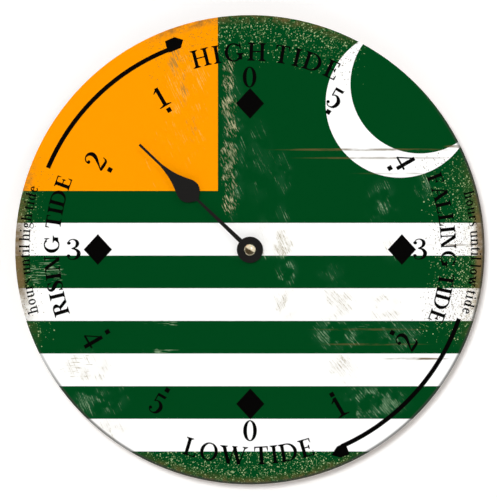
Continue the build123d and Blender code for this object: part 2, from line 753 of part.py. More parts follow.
def make_leaf(start, far):
    """Makes the bowed leaf that presses on the battery's flat end."""
    reach = start + leaf_reach
    inner_reach = reach - contact_thickness
    inner_half_height = leaf_half_height - 2 * contact_thickness
    inner_flat = leaf_flat_half_height - contact_thickness / 2
    outer = [
        (start, battery_height - leaf_half_height), (reach, battery_height - leaf_flat_half_height),
        (reach, battery_height + leaf_flat_half_height), (start, battery_height + leaf_half_height)]
    inset = [
        (start, battery_height + inner_half_height), (inner_reach, battery_height + inner_flat),
        (inner_reach, battery_height - inner_flat), (start, battery_height - inner_half_height)]
    shape = make_face(Polyline(*(outer + inset), close=True))
    return slab(shape, contact_back_gap + leaf_side_inset, far - leaf_side_inset)


def make_battery():
    """Makes the battery: can with rolled shoulders, seal and positive cap."""
    depth = battery_back_gap + battery_radius
    left = leaf_gap + leaf_reach + contact_thickness - case_inner_half
    right = left + battery_length
    turned = Rot(0, 90, 0) * Cylinder(battery_radius, battery_length)
    can = Pos(left + battery_length / 2, -depth, battery_height) * turned
    can = chamfer(can.edges().filter_by(GeomType.CIRCLE), battery_shoulder)
    seal_right = right + battery_seal_thickness
    seal = bar(battery_radius - battery_seal_inset, right, seal_right, depth, battery_height)
    seal -= bar(battery_cap_radius, right, seal_right, depth, battery_height)
    cap = bar(battery_cap_radius, right, right + battery_cap_height, depth, battery_height)
    return {"battery_can": can, "battery_seal": seal, "battery_cap": cap}


def hand_outline():
    """Draws the hand pointing up: hub, stem, pear shaped bulb, flare and needle."""
    profile = []
    for station_share, width_share in hand_neck_shares + hand_bulb_shares + hand_flare_shares:
        profile.append((width_share * hand_bulb_half_width, station_share * hand_length))
    left_side = [(-half_width, station) for half_width, station in reversed(profile)]
    tip = profile[-1][0]
    stem_low = hand_hub_radius / 2
    needle = Polyline(profile[-1], (tip, hand_length), (-tip, hand_length), left_side[0])
    stem = Polyline(
        left_side[-1], (-hand_stem_half_width, stem_low), (hand_stem_half_width, stem_low), profile[0])
    blade = make_face([Spline(*profile), needle, Spline(*left_side), stem])
    return blade + Circle(hand_hub_radius)


def make_hand():
    """Makes the hand at its angle on the dial, and the cap nut on the arbor."""
    hand = slab(Rot(0, 0, hand_angle) * hand_outline(), hand_back, hand_front)
    hand -= rod(arbor_tip_radius, hand_back, hand_front)
    rim_front = hand_front + cap_rim_height
    cap_front = rim_front + cap_dome_height
    dome_radius = (cap_radius ** 2 + cap_dome_height ** 2) / (2 * cap_dome_height)
    dome = Pos(0, -(cap_front - dome_radius), 0) * Sphere(dome_radius)
    cap = rod(cap_radius, hand_front, rim_front) + (dome & rod(cap_radius, rim_front, cap_front))
    cap -= rod(cap_hole_radius, hand_front, hand_front + cap_hole_depth)
    return {"tide_hand": hand, "cap_nut": cap}


os.makedirs("parts", exist_ok=True)
pieces = {}
pieces.update(make_dial())
pieces.update(make_fixing())
pieces.update(make_hanger())
pieces.update(make_case())
pieces.update(make_cover())
pieces.update(make_screws())
pieces.update(make_middle_plate())
pieces.update(make_motor())
pieces.update(make_train())
pieces.update(make_hand_drive())
pieces.update(make_knob())
pieces.update(make_circuit())
pieces.update(make_contacts())
pieces.update(make_battery())
pieces.update(make_hand())
for name, solid in pieces.items():
    export_step(solid, "parts/" + name + ".step")
print("case", case_low, case_high, case_half, case_depth, "keyhole", keyhole_height)
print("arbors", hand_place, four_place, three_place, two_place, one_place, rotor_place, knob_place)
print("written", len(pieces))
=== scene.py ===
import math

import bpy
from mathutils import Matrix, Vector
from mathutils.geometry import delaunay_2d_cdt


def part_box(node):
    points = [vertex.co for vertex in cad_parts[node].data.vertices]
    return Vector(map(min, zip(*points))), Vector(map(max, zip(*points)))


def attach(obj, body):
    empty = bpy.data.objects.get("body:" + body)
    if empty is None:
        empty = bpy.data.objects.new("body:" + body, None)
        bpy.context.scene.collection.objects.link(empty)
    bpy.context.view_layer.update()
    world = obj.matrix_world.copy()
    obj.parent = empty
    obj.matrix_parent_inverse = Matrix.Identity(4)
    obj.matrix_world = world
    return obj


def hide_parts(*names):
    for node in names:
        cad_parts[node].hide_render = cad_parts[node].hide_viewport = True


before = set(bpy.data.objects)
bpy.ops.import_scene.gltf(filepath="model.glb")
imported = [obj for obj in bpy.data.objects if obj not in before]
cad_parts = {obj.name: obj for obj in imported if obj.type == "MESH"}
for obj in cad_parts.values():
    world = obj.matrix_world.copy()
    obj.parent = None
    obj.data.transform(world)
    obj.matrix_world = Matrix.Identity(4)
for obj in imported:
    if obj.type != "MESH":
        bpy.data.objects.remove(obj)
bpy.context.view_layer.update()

bl_info = {
    "name": "Tide clock",
    "version": (1, 0, 0),
    "blender": (4, 5, 0),
    "location": "View3D > Sidebar > Tide clock",
    "description": "Dresses a wall tide clock: printed dial, hand, brass fixing and quartz movement",
    "category": "Object",
}

MM = 0.001
FACE_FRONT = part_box("dial_face")[0].y

# Where the print is worn, for each kind of wear. A row is an oval: its middle in millimetres from the
# dial's centre, across and up, its half width and half height, and how strong the wear is.
WORN_PATCHES = {
    "steep": [
        (-10, 68, 10, 60, 0.6), (5, 58, 13, 34, 0.35), (10, 12, 10, 14, 0.4), (22, 50, 8, 18, 0.5),
        (21, 20, 6, 14, 0.4), (86, 28, 13, 22, 0.8), (92, 2, 9, 14, 0.5), (113, 41, 8, 12, 0.6),
        (-99, -96, 24, 15, 0.95), (-105, -76, 20, 14, 0.9), (-95, -120, 24, 13, 0.8), (-40, 96, 20, 50, 0.8),
        (-60, 60, 14, 26, 0.4), (120, 128, 9, 12, 0.3), (23, -36, 11, 14, 0.9), (52, -13, 12, 10, 0.45),
        (5, -3, 30, 5, 0.5), (21.5, 4, 9, 15, 1.3), (24, -14, 9, 11, 1.2)],
    "flatter": [
        (58, -54, 22, 15, 0.95), (97, -55, 17, 13, 0.7), (80, -99, 28, 14, 1), (60, -78, 12, 14, 0.7),
        (88, -38, 14, 14, 0.8), (58, -34, 14, 16, 0.85)],
    "rubbed": [
        (-14, 121, 5.5, 10, 0.65), (-13.8, 108, 5.5, 10, 0.8), (-13.6, 93, 7.5, 12, 1), (-12, 79, 6, 9, 0.85),
        (-13.6, 60.5, 7.5, 14, 1), (-13, 45, 6.5, 10, 0.85), (-12.5, 30, 7, 11, 0.7)],
    "dirty": [(-49, 125, 6, 16, 0.8), (-43, 104, 5, 14, 0.5), (-38, 80, 5, 14, 0.3)],
    "level": [
        (-133, -14.5, 20, 12, 1), (-140, 8, 12, 9, 0.5), (-56, -47.5, 18, 3, 0.9), (-57, -66, 18, 2.2, 1),
        (75, -50, 44, 3, 0.4), (-112, -76, 16, 12, 0.8)],
    "long_lines": [
        (75, 65, 70, 1.1, 0.75), (82, 59.6, 60, 0.9, 0.6), (96, 49.5, 34, 0.8, 0.4), (132, 3.1, 22, 0.9, 0.5),
        (108, -70.8, 26, 1, 0.95), (78, -51.8, 44, 0.9, 0.45), (78, -61.4, 44, 0.9, 0.4),
        (136, 67, 12, 1.4, 0.8)],
}

# The grain of each kind of wear, and of the circuit board's tracks: the length and width of a mark in
# millimetres, its turn clockwise from level in degrees, the noise at which it starts, and how much more
# shows it in full.
MARKS = {
    "steep": (15, 0.8, 66, 0.465, 0.13),
    "flatter": (11, 0.8, 50, 0.455, 0.13),
    "grains": (1.6, 0.8, 66, 0.42, 0.14),
    "rubbed": (4, 0.9, 66, 0.44, 0.14),
    "dirty": (9, 0.9, 66, 0.42, 0.16),
    "level": (9, 0.9, 0, 0.53, 0.1),
    "long_lines": (16, 3, 0, 0.36, 0.2),
    "ageing": (3, 3, 0, 0.38, 0.25),
    "stain": (5, 4, 0, 0.36, 0.3),
    "tracks": (2.5, 7, 0, 0.47, 0.01),
}
# How much more noise a mark needs where its patch is faintest.
MARK_LIFT = 0.17

# Zones of the dial. A row holds a measure, and where the zone is still empty and where it is full, in
# millimetres. Across and height are counted both ways from the centre, and low height from a line just
# below it. Reach is the distance from the centre, and right and down is the distance towards the lower
# right.
DIAL_ZONES = {
    "top_and_foot": [("reach", 118, 152), ("across", 78, 45), ("height", 100, 128)],
    "sides": [("reach", 113, 148), ("height", 66, 30)],
    "right_half": [("x", 0, 10)],
    "left_rim": [("reach", 132, 152), ("x", 0, -10)],
    "aged_rim": [("reach", 134, 153)],
    "stained_rim": [("reach", 145.5, 151.5)],
    "far_right": [("reach", 145, 149), ("height", 36, 12)],
    "far_left": [("reach", 145.5, 149.5), ("low_height", 36, 14), ("x", 0, -10)],
    # A painted shadow along the rim's lower right side.
    "shadowed_edge": [("reach", 150.2, 151.6), ("right_and_down", -50, 30)],
}
LOW_HEIGHT_DROP = 5
RIGHT_AND_DOWN = (0.5, 0.0, -0.866)
# White and green stripes in turn, from the first white one to the last.
STRIPE_COUNT = 7

# Sizes in millimetres of the cloudy unevenness: clumps of wear, lumps in the rubbing, and slow changes of
# gloss.
CLUMP_SIZE = 100 / 11
LUMP_SIZE = 40 / 3
SHEEN_SIZE = 50 / 3


def linear(code):
    """Turns an sRGB hex colour into linear red, green, blue and alpha."""
    channels = [int(code[index:index + 2], 16) / 255 for index in (1, 3, 5)]
    return tuple(c / 12.92 if c <= 0.04045 else ((c + 0.055) / 1.055) ** 2.4 for c in channels) + (1.0,)


def colour_property(name, description, code):
    """Declares a colour that the user can change."""
    return bpy.props.FloatVectorProperty(
        name=name, description=description, subtype="COLOR", size=4, min=0.0, max=1.0, default=linear(code))


def length_property(name, description, millimetres):
    """Declares a length that the user can change."""
    return bpy.props.FloatProperty(
        name=name, description=description, unit="LENGTH", subtype="DISTANCE", default=millimetres * MM)


class TideClockSizes(bpy.types.PropertyGroup):
    """Sizes of what is printed on the dial, measured from its centre."""
    stripe_top: length_property("Stripe top", "Height of the top edge of the first white stripe", 17.41)
    stripe_pitch: length_property("Stripe height", "Height of each stripe", 21.20)
    canton_right: length_property("Canton side", "Right edge of the orange field", -20.78)
    canton_low: length_property("Canton foot", "Lower edge of the orange field", 38.2)
    crescent_x: length_property("Crescent across", "Centre of the crescent's outer circle, across", 97.4)
    crescent_z: length_property("Crescent up", "Centre of the crescent's outer circle, up", 95.0)
    crescent_radius: length_property("Crescent radius", "Radius of the crescent's outer circle", 48.2)
    bite_x: length_property("Bite across", "Centre of the circle cut from the crescent, across", 110.4)
    bite_z: length_property("Bite up", "Centre of the circle cut from the crescent, up", 107.6)
    bite_radius: length_property("Bite radius", "Radius of the circle cut from the crescent", 45.1)
    ink_thickness: length_property("Ink thickness", "Thickness of the black ink layer", 0.06)
    numeral_height: length_property("Numeral height", "Height of the hour numerals", 13.29)
    capital_height: length_property("Capital height", "Height of the capitals at the top and foot", 11.68)
    side_capital_height: length_property("Side capital height", "Height of the capitals at the sides", 9.92)
    small_letter_height: length_property("Small letter height", "Height of the tall small letters", 6.9)
    arrow_radius: length_property("Arrow radius", "Radius of the two long arrows", 141.65)
    arrow_width: length_property("Arrow width", "Width of the arrow lines", 2.9)
    diamond_width: length_property("Diamond width", "Width of the four diamonds", 18.4)
    diamond_height: length_property("Diamond height", "Height of the four diamonds", 20.03)
    dot_side: length_property("Dot side", "Side of the square dots by the numerals", 3.02)


class TideClockColours(bpy.types.PropertyGroup):
    """Colours of the printed dial and of its wear."""
    green: colour_property("Green", "Printed green", "#00431A")
    orange: colour_property("Orange", "Printed orange", "#FF9A00")
    white: colour_property("White", "Printed white", "#FEFEFD")
    speck: colour_property("Speck", "Bright chips in the green", "#A6BA86")
    dull_speck: colour_property("Dull speck", "Shallow chips in the green", "#5F8350")
    haze: colour_property("Haze", "Where the green is dulled", "#2F6243")
    dulled_white: colour_property("Dulled white", "Where the white is dulled", "#DDD5C0")
    thin_green: colour_property("Thin green", "Scratches in the green", "#8BA884")
    smudge: colour_property("Smudge", "Scratches in the white", "#B0A58C")
    faded: colour_property("Faded", "Scratches in the orange", "#F6B958")
    bared: colour_property("Bared", "The rubbed band beside the orange field", "#BDB78F")
    olive: colour_property("Olive", "Streaks under the upper arrow's head", "#8F7A42")
    aged_white: colour_property("Aged white", "White print near the rim", "#C9B68C")
    aged_green: colour_property("Aged green", "Green print near the rim", "#5A6A38")
    brown: colour_property("Brown", "Stains at the rim and the long marks", "#6E5A36")
    handled_rim: colour_property("Handled rim", "The rim where it was held", "#75603E")
    # Painted shadow: the dark line along the rim's lower right side.
    painted_edge_shadow: colour_property("Edge shade", "The darkened cut edge", "#3A3B38")


def add(tree, kind, inputs=None, **settings):
    """Adds a shader node, sets its properties, and sets or links its inputs."""
    node = tree.nodes.new("ShaderNode" + kind)
    for name, value in settings.items():
        setattr(node, name, value)
    for socket, value in (inputs or {}).items():
        if isinstance(value, bpy.types.Node):
            value = value.outputs[0]
        if isinstance(value, bpy.types.NodeSocket):
            tree.links.new(value, node.inputs[socket])
        else:
            node.inputs[socket].default_value = value
    return node


def start_material(name):
    """Starts an empty node material with its object coordinates."""
    material = bpy.data.materials.new(name)
    material.use_nodes = True
    tree = material.node_tree
    tree.nodes.clear()
    return material, tree, add(tree, "TexCoord").outputs["Object"]


def overlap(tree, *masks):
    """Multiplies masks, so that what they share stays."""
    total = masks[0]
    for mask in masks[1:]:
        total = add(tree, "Math", {0: total, 1: mask}, operation="MULTIPLY")
    return total


def union(tree, *masks):
    """Takes the greatest of masks at each place."""
    total = masks[0]
    for mask in masks[1:]:
        total = add(tree, "Math", {0: total, 1: mask}, operation="MAXIMUM")
    return total


def soft_zone(tree, *limits):
    """Gives a soft mask. Each limit holds a value, where the mask is still empty and where it is full."""
    return overlap(tree, *[
        add(tree, "MapRange", {"Value": value, "From Min": empty, "From Max": full},
            interpolation_type="SMOOTHSTEP")
        for value, empty, full in limits])


def paint(tree, under, over, *masks):
    """Lays a colour over another where all the masks are white."""
    return add(tree, "Mix", {0: overlap(tree, *masks), 6: under, 7: over}, data_type="RGBA").outputs[2]


def marks(tree, place, kind, where=None):
    """Gives the marks of one kind.

    Where a second mask is weak the marks thin out, as scratches do, and they end where it is 0."""
    length, width, turn, start, more = MARKS[kind]
    placed = add(tree, "Mapping", {
        "Vector": place, "Rotation": (0.0, math.radians(turn), 0.0), "Scale": (length * MM, 1.0, width * MM)},
        vector_type="TEXTURE")
    noise = add(tree, "TexNoise", {"Vector": placed, "Scale": 1.0, "Detail": 3.0, "Roughness": 0.6})
    if where is None:
        return add(tree, "MapRange", {"Value": noise, "From Min": start, "From Max": start + more})
    start += MARK_LIFT
    noise = add(tree, "Math", {0: where, 1: MARK_LIFT, 2: noise}, operation="MULTIPLY_ADD")
    streaks = add(tree, "MapRange", {"Value": noise, "From Min": start, "From Max": start + more})
    return overlap(tree, streaks, soft_zone(tree, (where, 0.02, 0.2)))


def worn_patches(tree, flat, kind):
    """Gives the soft oval patches where one kind of wear lies."""
    ovals = []
    for x, z, half_width, half_height, strength in WORN_PATCHES[kind]:
        moved = add(tree, "Mapping", {
            "Vector": flat, "Location": (x * MM, 0.0, z * MM),
            "Scale": (half_width * MM, 1.0, half_height * MM)}, vector_type="TEXTURE")
        reach = add(tree, "VectorMath", {0: moved}, operation="LENGTH").outputs["Value"]
        ovals.append(add(tree, "MapRange", {
            "Value": reach, "From Min": 1.0, "From Max": 0.4, "To Max": strength},
            interpolation_type="SMOOTHSTEP"))
    return union(tree, *ovals)


def chips(tree, flat, cell, density):
    """Gives round specks of mixed size, one at most in each cell of a size in millimetres."""
    cells = add(tree, "TexVoronoi", {"Vector": flat, "Scale": 1.0 / (cell * MM)})
    lot = add(tree, "SeparateColor", {0: cells.outputs["Color"]})
    radius = overlap(tree, lot.outputs[0], 0.5)
    speck = add(tree, "Math", {0: cells.outputs["Distance"], 1: radius}, operation="LESS_THAN")
    drawn = add(tree, "Math", {0: lot.outputs[1], 1: density}, operation="LESS_THAN")
    return overlap(tree, speck, drawn)


def ridges(tree, place, width):
    """Gives a value that rises from 0 to a half and falls again along X, in each width in millimetres."""
    x = add(tree, "SeparateXYZ", {0: place}).outputs["X"]
    count = add(tree, "Math", {0: x, 1: 1.0 / (width * MM)}, operation="MULTIPLY")
    return add(tree, "Math", {0: count, 1: 0.5}, operation="PINGPONG")


def end_material(tree, height, strength, depth, surface, invert=False):
    """Closes a material with a principled surface in relief, of a strength and a depth in millimetres."""
    relief = add(
        tree, "Bump", {"Strength": strength, "Distance": depth * MM, "Height": height}, invert=invert)
    shader = add(tree, "BsdfPrincipled", {"Normal": relief, **surface})
    add(tree, "OutputMaterial", {"Surface": shader})


def dress(names, material):
    """Gives CAD nodes a material."""
    for name in names:
        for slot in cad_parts[name].material_slots:
            slot.material = material


def grained(
        name, nodes, colour, second, grain, roughness, bump, metallic=0.0, spread=0.08, coat=0.0, shine=0.5,
        stretch=(1.0, 1.0, 1.0)):
    """Makes a surface whose fine grain, of a real size in millimetres, shows in colour, gloss and relief.

    It goes on the CAD nodes that are named and is given back for new pieces."""
    material, tree, place = start_material(name)
    scaled = add(tree, "Mapping", {"Vector": place, "Scale": stretch}, vector_type="TEXTURE")
    noise = add(tree, "TexNoise", {
        "Vector": scaled, "Scale": 1.0 / (grain * MM), "Detail": 4.0, "Roughness": 0.55})
    tint = paint(tree, linear(colour), linear(second), noise)
    rough = add(tree, "MapRange", {
        "Value": noise, "From Min": 0.3, "From Max": 0.7,
        "To Min": roughness - spread, "To Max": roughness + spread})
    end_material(tree, noise, strength=bump, depth=grain / 2, surface={
        "Base Color": tint, "Roughness": rough, "Metallic": metallic, "Coat Weight": coat,
        "Specular IOR Level": shine})
    dress(nodes, material)
    return material


class DialFilm:
    """Printed and distressed film: dull satin ink in flat fields, rubbed pale and stained brown."""

    def __init__(self, sizes, colours):
        self.colours = colours
        self.material, self.tree, self.place = start_material("printed_film_distressed")
        tree = self.tree
        parts = add(tree, "SeparateXYZ", {0: self.place})
        x, z = parts.outputs["X"], parts.outputs["Z"]
        self.flat = add(tree, "CombineXYZ", {0: x, 2: z})
        raised = add(tree, "Math", {0: z, 1: LOW_HEIGHT_DROP * MM}, operation="ADD")
        self.measures = {"x": x, "z": z}
        for name, value in (("across", x), ("height", z), ("low_height", raised)):
            self.measures[name] = add(tree, "Math", {0: value}, operation="ABSOLUTE")
        self.measures["reach"] = add(tree, "VectorMath", {0: self.flat}, operation="LENGTH").outputs["Value"]
        self.measures["right_and_down"] = add(
            tree, "VectorMath", {0: self.flat, 1: RIGHT_AND_DOWN}, operation="DOT_PRODUCT").outputs["Value"]
        self.print_fields(sizes)
        self.scratch()
        self.chip_and_age()
        self.stain_rim()
        self.give_sheen()

    def zone(self, name):
        """Gives the soft mask of a named zone of the dial."""
        return soft_zone(self.tree, *[
            (self.measures[measure], empty * MM, full * MM) for measure, empty, full in DIAL_ZONES[name]])

    def lay(self, colour, *masks):
        """Lays a named colour, or one that was worked out, over what is there."""
        over = getattr(self.colours, colour) if isinstance(colour, str) else colour
        self.colour = paint(self.tree, self.colour, over, *masks)

    def print_fields(self, sizes):
        """Prints the stripes, the orange field and the crescent, and finds where each colour lies."""
        tree, colours = self.tree, self.colours
        x, z = self.measures["x"], self.measures["z"]
        # Counted down from the first stripe's top edge, even stripes are white. All above and below is
        # green.
        count = add(tree, "Math", {
            0: z, 1: -1.0 / sizes.stripe_pitch, 2: sizes.stripe_top / sizes.stripe_pitch},
            operation="MULTIPLY_ADD")
        count = add(tree, "Math", {0: count}, operation="FLOOR")
        count = add(tree, "Clamp", {"Value": count, "Min": -1.0, "Max": STRIPE_COUNT})
        striped = add(tree, "Math", {0: count, 1: 2.0}, operation="FLOORED_MODULO")
        left = add(tree, "Math", {0: x, 1: sizes.canton_right}, operation="LESS_THAN")
        high = add(tree, "Math", {0: z, 1: sizes.canton_low}, operation="GREATER_THAN")
        self.orange = overlap(tree, left, high)
        # The crescent lies inside one circle and outside another.
        sides = []
        for across, up, radius, side in (
                (sizes.crescent_x, sizes.crescent_z, sizes.crescent_radius, "LESS_THAN"),
                (sizes.bite_x, sizes.bite_z, sizes.bite_radius, "GREATER_THAN")):
            distance = add(tree, "VectorMath", {0: self.flat, 1: (across, 0.0, up)}, operation="DISTANCE")
            sides.append(add(tree, "Math", {0: distance.outputs["Value"], 1: radius}, operation=side))
        crescent = overlap(tree, *sides)
        self.colour = paint(tree, colours.white, colours.green, striped)
        self.lay("orange", self.orange)
        self.lay("white", crescent)
        unstriped = add(tree, "Math", {0: 1.0, 1: striped}, operation="SUBTRACT")
        self.white = union(tree, unstriped, crescent)
        pale = union(tree, self.white, self.orange)
        self.green = add(tree, "Math", {0: 1.0, 1: pale}, operation="SUBTRACT")
        scratched = paint(tree, colours.thin_green, colours.smudge, self.white)
        self.scratched = paint(tree, scratched, colours.faded, self.orange)

    def scratch(self):
        """Lays scratches, rubbing and streaks of dirt over the fields."""
        tree, place, flat = self.tree, self.place, self.flat
        # Clumps about a centimetre across break up the slanting scratches, the rubbing and the chips.
        clouds = add(tree, "TexNoise", {"Vector": place, "Scale": 1.0 / (CLUMP_SIZE * MM), "Detail": 2.0})
        self.clumps = soft_zone(tree, (clouds, 0.38, 0.6))
        # Slanting scratches lie in patches, and the print between them is dulled.
        steep = overlap(tree, self.clumps, worn_patches(tree, flat, "steep"))
        flatter = overlap(tree, self.clumps, worn_patches(tree, flat, "flatter"))
        dulled = union(tree, steep, flatter)
        self.lay("haze", dulled, self.green, 0.35)
        self.lay("dulled_white", dulled, self.white, 0.2)
        slanting = union(tree, marks(tree, place, "steep", steep), marks(tree, place, "flatter", flatter))
        # They are dotted, because the ink flakes off in grains, and they are a little weaker on the white.
        dots = add(tree, "MapRange", {"Value": marks(tree, place, "grains"), "To Min": 0.2})
        strength = add(tree, "MapRange", {"Value": self.white, "To Min": 0.95, "To Max": 0.9})
        self.lay(self.scratched, slanting, dots, strength)
        # The densest rubbing is an uneven upright band beside the orange field.
        rubbed = overlap(tree, worn_patches(tree, flat, "rubbed"), soft_zone(tree, (self.clumps, -0.9, 0.6)))
        lumps = add(tree, "TexNoise", {"Vector": place, "Scale": 1.0 / (LUMP_SIZE * MM), "Detail": 1.0})
        lumps = add(tree, "MapRange", {
            "Value": lumps, "From Min": 0.35, "From Max": 0.62, "To Min": 0.4, "To Max": 1.0})
        self.lay("bared", marks(tree, place, "rubbed", rubbed), lumps)
        # Olive streaks lie under the head of the upper arrow, and level scratches cross the ends of some
        # stripes.
        self.lay("olive", marks(tree, place, "dirty", worn_patches(tree, flat, "dirty")), 0.8)
        self.lay(self.scratched, marks(tree, place, "level", worn_patches(tree, flat, "level")))
        # A few long level lines are broken here and there.
        self.lay("brown", marks(tree, place, "long_lines"), worn_patches(tree, flat, "long_lines"))

    def chip_and_age(self):
        """Lays chips and age near the rim. They crowd the top, foot and sides, and thin out inwards."""
        tree, flat = self.tree, self.flat
        x, z = self.measures["x"], self.measures["z"]
        self.top_and_foot, self.sides = self.zone("top_and_foot"), self.zone("sides")
        self.right = overlap(tree, self.sides, self.zone("right_half"))
        both_sides = union(tree, self.right, overlap(tree, self.zone("left_rim"), self.sides, 0.6))
        clumped = add(tree, "MapRange", {"Value": self.clumps, "To Min": 0.55})
        crowd = overlap(tree, union(tree, self.top_and_foot, both_sides), clumped)
        self.lay("dull_speck", chips(tree, flat, 0.85, overlap(tree, crowd, 1.4)), self.green)
        # The bright chips in the green are densest at the foot.
        foot = add(tree, "MapRange", {
            "Value": z, "From Min": -100 * MM, "From Max": 100 * MM, "To Min": 0.75, "To Max": 0.4})
        self.green_chips = overlap(tree, chips(tree, flat, 1.0, overlap(tree, crowd, foot)), self.green)
        self.lay("speck", self.green_chips)
        aged = overlap(tree, self.zone("aged_rim"), marks(tree, self.place, "ageing"), both_sides)
        self.lay("aged_white", aged, self.white, 0.6)
        self.lay("aged_green", aged, self.green, 0.32)
        # Brown chips in the white and the orange are densest at the right, and the low stripes have none.
        to_right = add(tree, "MapRange", {
            "Value": x, "From Min": 0.0, "From Max": 10 * MM, "To Min": 0.7, "To Max": 2.2})
        not_low = add(tree, "MapRange", {
            "Value": z, "From Min": -75 * MM, "From Max": -65 * MM, "To Min": 0.0, "To Max": 0.85})
        on_orange = add(tree, "MapRange", {"Value": self.orange, "To Min": 1.0, "To Max": 0.6})
        brown_chips = chips(tree, flat, 0.8, overlap(tree, crowd, to_right))
        self.lay("brown", brown_chips, union(tree, self.white, self.orange), not_low, on_orange)

    def stain_rim(self):
        """Stains the last millimetres of the print, darkens the rim where it was handled, and paints a shadow
        along the edge's lower right side.
        """
        tree = self.tree
        stain = marks(tree, self.place, "stain")
        self.lay("brown", self.zone("stained_rim"), stain, union(tree, self.top_and_foot, self.sides), 0.75)
        held = union(tree, overlap(tree, self.zone("far_right"), self.right), self.zone("far_left"))
        blotches = add(tree, "MapRange", {"Value": stain, "To Min": 0.75, "To Max": 0.97})
        self.lay("handled_rim", held, blotches)
        # Painted shadow: a dark line just inside the rim, on its lower right side where the edge is in shade.
        self.lay("painted_edge_shadow", self.zone("shadowed_edge"), 0.8)

    def give_sheen(self):
        """Gives the film a slow unevenness in its gloss, and sets the chips a hair below the ink."""
        clouds = add(self.tree, "TexNoise", {
            "Vector": self.place, "Scale": 1.0 / (SHEEN_SIZE * MM), "Detail": 2.0})
        rough = add(self.tree, "MapRange", {"Value": clouds, "To Min": 0.58, "To Max": 0.76})
        end_material(self.tree, self.green_chips, strength=0.15, depth=0.05, invert=True, surface={
            "Base Color": self.colour, "Roughness": rough, "Specular IOR Level": 0.02})


def wound_copper():
    """Enamelled copper wire, wound: fine even ridges round the coil, glossy and reddish, with painted shade
    in the grooves between turns and a painted highlight on their crests.
    """
    material, tree, place = start_material("copper_wire_enamelled_wound")
    # The real wire is 0.05 mm thick, too fine to show, so a turn is drawn 0.3 mm wide.
    turns = ridges(tree, place, 0.3)
    # Painted shade and highlight: each turn is darker in its grooves and lighter on its crest.
    tint = paint(tree, linear("#7A3316"), linear("#D8793C"), turns, 2.0)
    end_material(tree, turns, strength=0.6, depth=0.1, surface={
        "Base Color": tint, "Metallic": 1.0, "Roughness": 0.32, "Coat Weight": 0.6})
    return material


def solder_mask():
    """Fibreglass board under green solder mask: glossy, with the copper tracks as paler upright lines."""
    material, tree, place = start_material("fibreglass_solder_masked")
    # The tracks lie in lanes 1.9 mm apart, and each is about a third as wide.
    lanes = add(tree, "Math", {0: ridges(tree, place, 1.9), 1: 0.34}, operation="GREATER_THAN")
    track = overlap(tree, lanes, marks(tree, place, "tracks"))
    tint = paint(tree, linear("#0B3A1C"), linear("#2C6B35"), track)
    end_material(tree, track, strength=0.3, depth=0.04, surface={
        "Base Color": tint, "Roughness": 0.28, "Coat Weight": 0.3})
    return material


def battery_sleeve():
    """Polyester sleeve, shrunk on: two plain fields with a soft gloss and faint wrinkles."""
    material, tree, place = start_material("polyester_sleeve_shrunk")
    x = add(tree, "SeparateXYZ", {0: place}).outputs["X"]
    low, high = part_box("battery_can")
    field = add(tree, "Math", {0: x, 1: high.x - (high.x - low.x) / 4}, operation="GREATER_THAN")
    wrinkle = add(tree, "TexNoise", {"Vector": place, "Scale": 1.0 / (2.5 * MM), "Detail": 2.0})
    tint = paint(tree, linear("#23262B"), linear("#B46A2B"), field)
    rough = add(tree, "MapRange", {"Value": wrinkle, "To Min": 0.25, "To Max": 0.4})
    end_material(tree, wrinkle, strength=0.08, depth=0.1, surface={
        "Base Color": tint, "Roughness": rough})
    return material


# Letters are drawn in hundredths of the capital height. The stem and hair widths come with each legend.
CAPITAL = 100
SERIF_REACH = 11
WIDE_SERIF_REACH = 20
SERIF_THICKNESS = 5
SERIF_RISE = 6
SERIF_BRACKET = 3
BRUSH_STEM = 15
SLANTED_STEM_SHARE = 1.08
SLANTED_HAIR_SHARE = 1.1
NUMERAL_STEM, NUMERAL_HAIR = 18.5, 5.5
ARC_STEPS = 28
ARROW_STEPS = 60
KNOB_ARROW_STEPS = 24
BALL_SIDES = 12

# For each kind of serif: whether it ends a hairline, its way of growing, and its reach past the stroke.
SERIFS = {
    "foot": (False, 1, SERIF_REACH),
    "wide_foot": (False, 1, WIDE_SERIF_REACH),
    "head": (False, -1, SERIF_REACH),
    "thin_foot": (True, 1, SERIF_REACH),
    "thin_head": (True, -1, SERIF_REACH),
}

